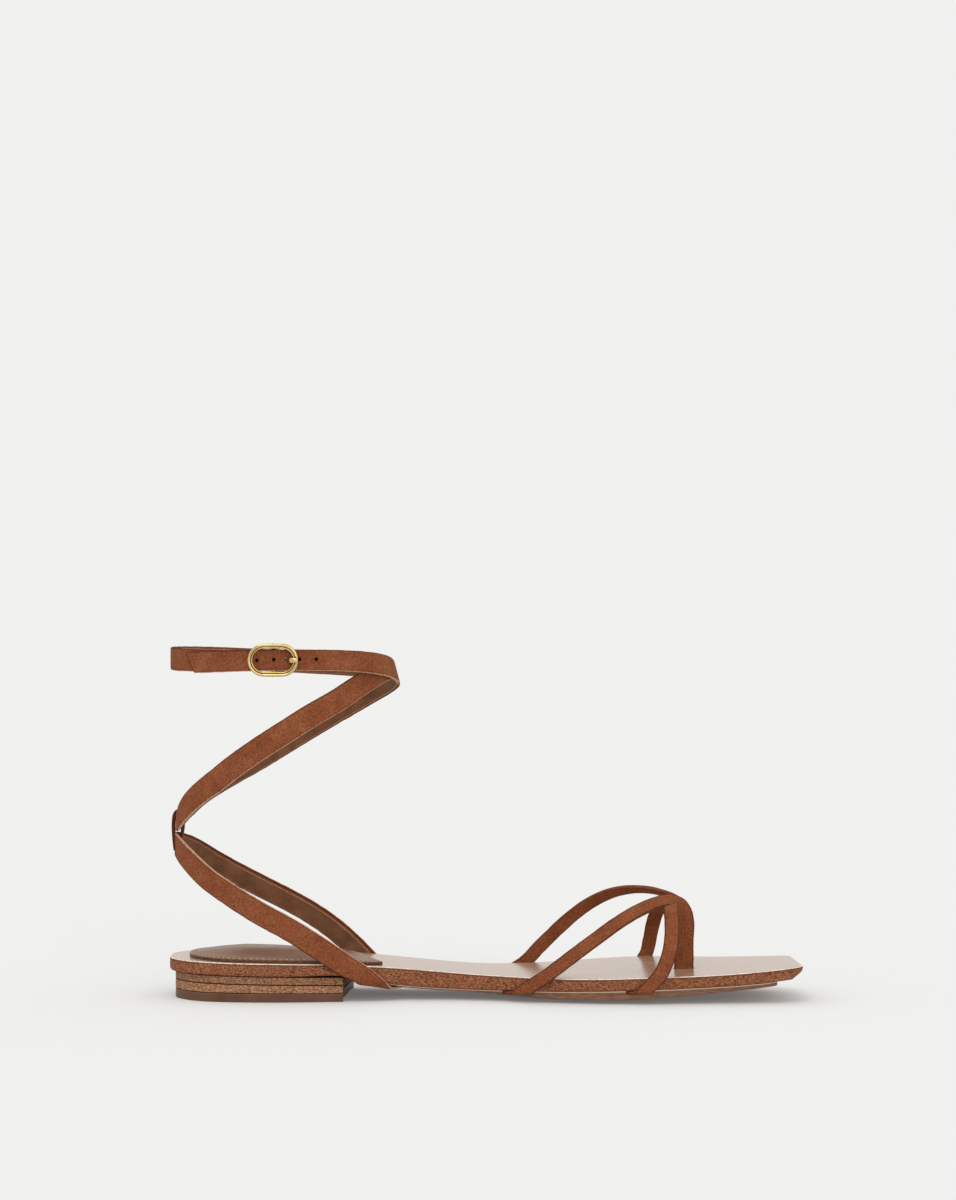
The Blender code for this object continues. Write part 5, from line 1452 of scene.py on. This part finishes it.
def brass_material(name, low, high, rough):
    r = Recipe(name)
    patch = r.noise(160.0, 3.0, 0.5)
    fine = r.noise(900.0, 2.0, 0.5)
    colour = r.ramp(patch, (0.3, low), (0.7, high))
    rough = r.math("ADD", r.math("MULTIPLY", fine, 0.08), rough)
    return r.finish(colour, rough, r.bump(patch, 0.04, 0.0002), Metallic=1.0)


# --- pieces -----------------------------------------------------------------
suede, lining, cut, hole = suede_material(), lining_material(), cut_material(), hole_shade_material()
straps_of = [suede, lining, cut, hole]
EDGES[-1], EDGES[1] = outline_sections(1.0)

board = place(make_board([board_top_material(), board_edge_material(), under_material(), rim_highlight_material()]), "board_leather", "insole_board")
outsole = place(make_outsole([outsole_material()]), "outsole_leather", "outsole")
for piece_name, row, made_of, rough, slot_name in (
    ("heel_lift_upper_detail", LAYERS[0], lift_material("lift_upper", 0.9), 0.05, "lift_leather"),
    ("heel_lift_lower_detail", LAYERS[1], lift_material("lift_lower", 1.12), 0.05, "lift_leather"),
    ("heel_top_piece_detail", LAYERS[2], rubber_material(), 0.008, "top_piece_rubber"),
):
    place(make_heel_layer(piece_name, row, [made_of], rough, 0.12), slot_name, row[0])

pad = place(make_heel_pad([pad_material()]), "pad_leather", "heel_pad")
stitches = place(make_stitches([thread_material()]), "pad_leather", "heel_pad")

for piece_name, rows, start, end, seed in (
    ("thong_medial_detail", THONG_MEDIAL, "thong_medial", None, 11.0),
    ("thong_lateral_detail", THONG_LATERAL, "thong_lateral", None, 23.0),
    ("arch_strap_detail", ARCH, "arch_medial", "arch_lateral", 31.0),
):
    made = strap_mesh(piece_name, strap_frames(rows, TOE_STRAP, start, end), False, seed, straps_of, edge_highlight_share=(0.30, 0.30))
    place(made, "suede", "toe_straps")

heel_band = strap_mesh(
    "heel_strap_detail", strap_frames(HEEL_BAND, HEEL_STRAP, "heel_medial", "heel_lateral"), True, 43.0, straps_of,
    HEEL_MARGINS, (0.3, 0.85),
)
place(heel_band, "suede", "heel_strap")
tab = strap_mesh("heel_tab_detail", strap_frames(TAB, TAB_THICKNESS, pitch=0.8), False, 51.0, straps_of)
place(tab, "suede", "heel_strap")
place(make_ankle_strap(straps_of), "suede", "ankle_strap")

brass = brass_material("brass", (0.56, 0.385, 0.150), (0.72, 0.53, 0.245), 0.12)
# Darker brass for the buckle's groove: painted shade.
groove = brass_material("brass_groove_shade", (0.12, 0.060, 0.020), (0.24, 0.135, 0.050), 0.3)
place(make_buckle([brass, groove]), "brass", "buckle_frame")
place(make_prong([brass]), "brass", "buckle_prong")

# --- studio -----------------------------------------------------------------
BACKGROUND = 0.875  # the picture's even pale ground, as light
FLOOR = 0.835  # reflects as much under all the lamps
GLOW = 0.12  # share of the floor's brightness that it gives off itself, a painted glow that keeps shadows on it pale


def make_floor():
    r = Recipe("studio_floor")
    fine = r.noise(3.0, 2.0, 0.5)
    plain = FLOOR * (1 - GLOW)
    colour = r.ramp(fine, (0.0, (plain - 0.003,) * 3), (1.0, (plain + 0.003,) * 3))
    # The floor emits GLOW's share of the background light: a painted glow that lifts its shadows.
    made_of = r.finish(
        colour, 1.0, None, Specular_IOR_Level=0.0, Emission_Color=(1.0, 1.0, 0.982, 1.0), Emission_Strength=BACKGROUND * GLOW,
    )
    mesh = bpy.data.meshes.new("studio_floor")
    size, low = 40.0, -0.00004
    mesh.from_pydata([(-size, -size, low), (size, -size, low), (size, size, low), (-size, size, low)], [], [(0, 1, 2, 3)])
    mesh.materials.append(made_of)
    floor = bpy.data.objects.new("studio_floor", mesh)
    bpy.context.scene.collection.objects.link(floor)
    floor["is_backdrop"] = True


def make_light():
    world = bpy.data.worlds.new("studio")
    bpy.context.scene.world = world
    world.use_nodes = True
    background = world.node_tree.nodes["Background"]
    background.inputs["Color"].default_value = (1.0, 1.0, 0.982, 1.0)
    background.inputs["Strength"].default_value = BACKGROUND
    for name, energy, angle, tilt, turn in (
        ("soft_key", 0.55, 24.0, 38.0, -18.0),
        ("front_fill", 0.50, 30.0, 76.0, 12.0),
    ):
        sun = bpy.data.lights.new(name, "SUN")
        sun.energy, sun.angle = energy, math.radians(angle)
        lamp = bpy.data.objects.new(name, sun)
        lamp.rotation_euler = (math.radians(tilt), 0.0, math.radians(turn))
        bpy.context.scene.collection.objects.link(lamp)


def make_camera():
    data = bpy.data.cameras.new("camera")
    data.sensor_fit, data.sensor_width, data.sensor_height = "AUTO", 36.0, 36.0
    data.lens = 129.33
    data.clip_start, data.clip_end = 0.05, 200.0
    camera = bpy.data.objects.new("camera", data)
    camera.location = (-SHIFT[0] * MM, -1.7 - SHIFT[1] * MM, 0.194)
    camera.rotation_euler = (math.radians(90 - 1.2776), 0.0, 0.0)
    bpy.context.scene.collection.objects.link(camera)
    bpy.context.scene.camera = camera


make_floor()
make_light()
make_camera()
bpy.context.scene.view_settings.view_transform = "Standard"

MADE_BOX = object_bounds()


def plain(value):
    return [plain(v) for v in value] if hasattr(value, "__len__") else float(value)


str([plain(CAD_BOX), plain(MADE_BOX)])
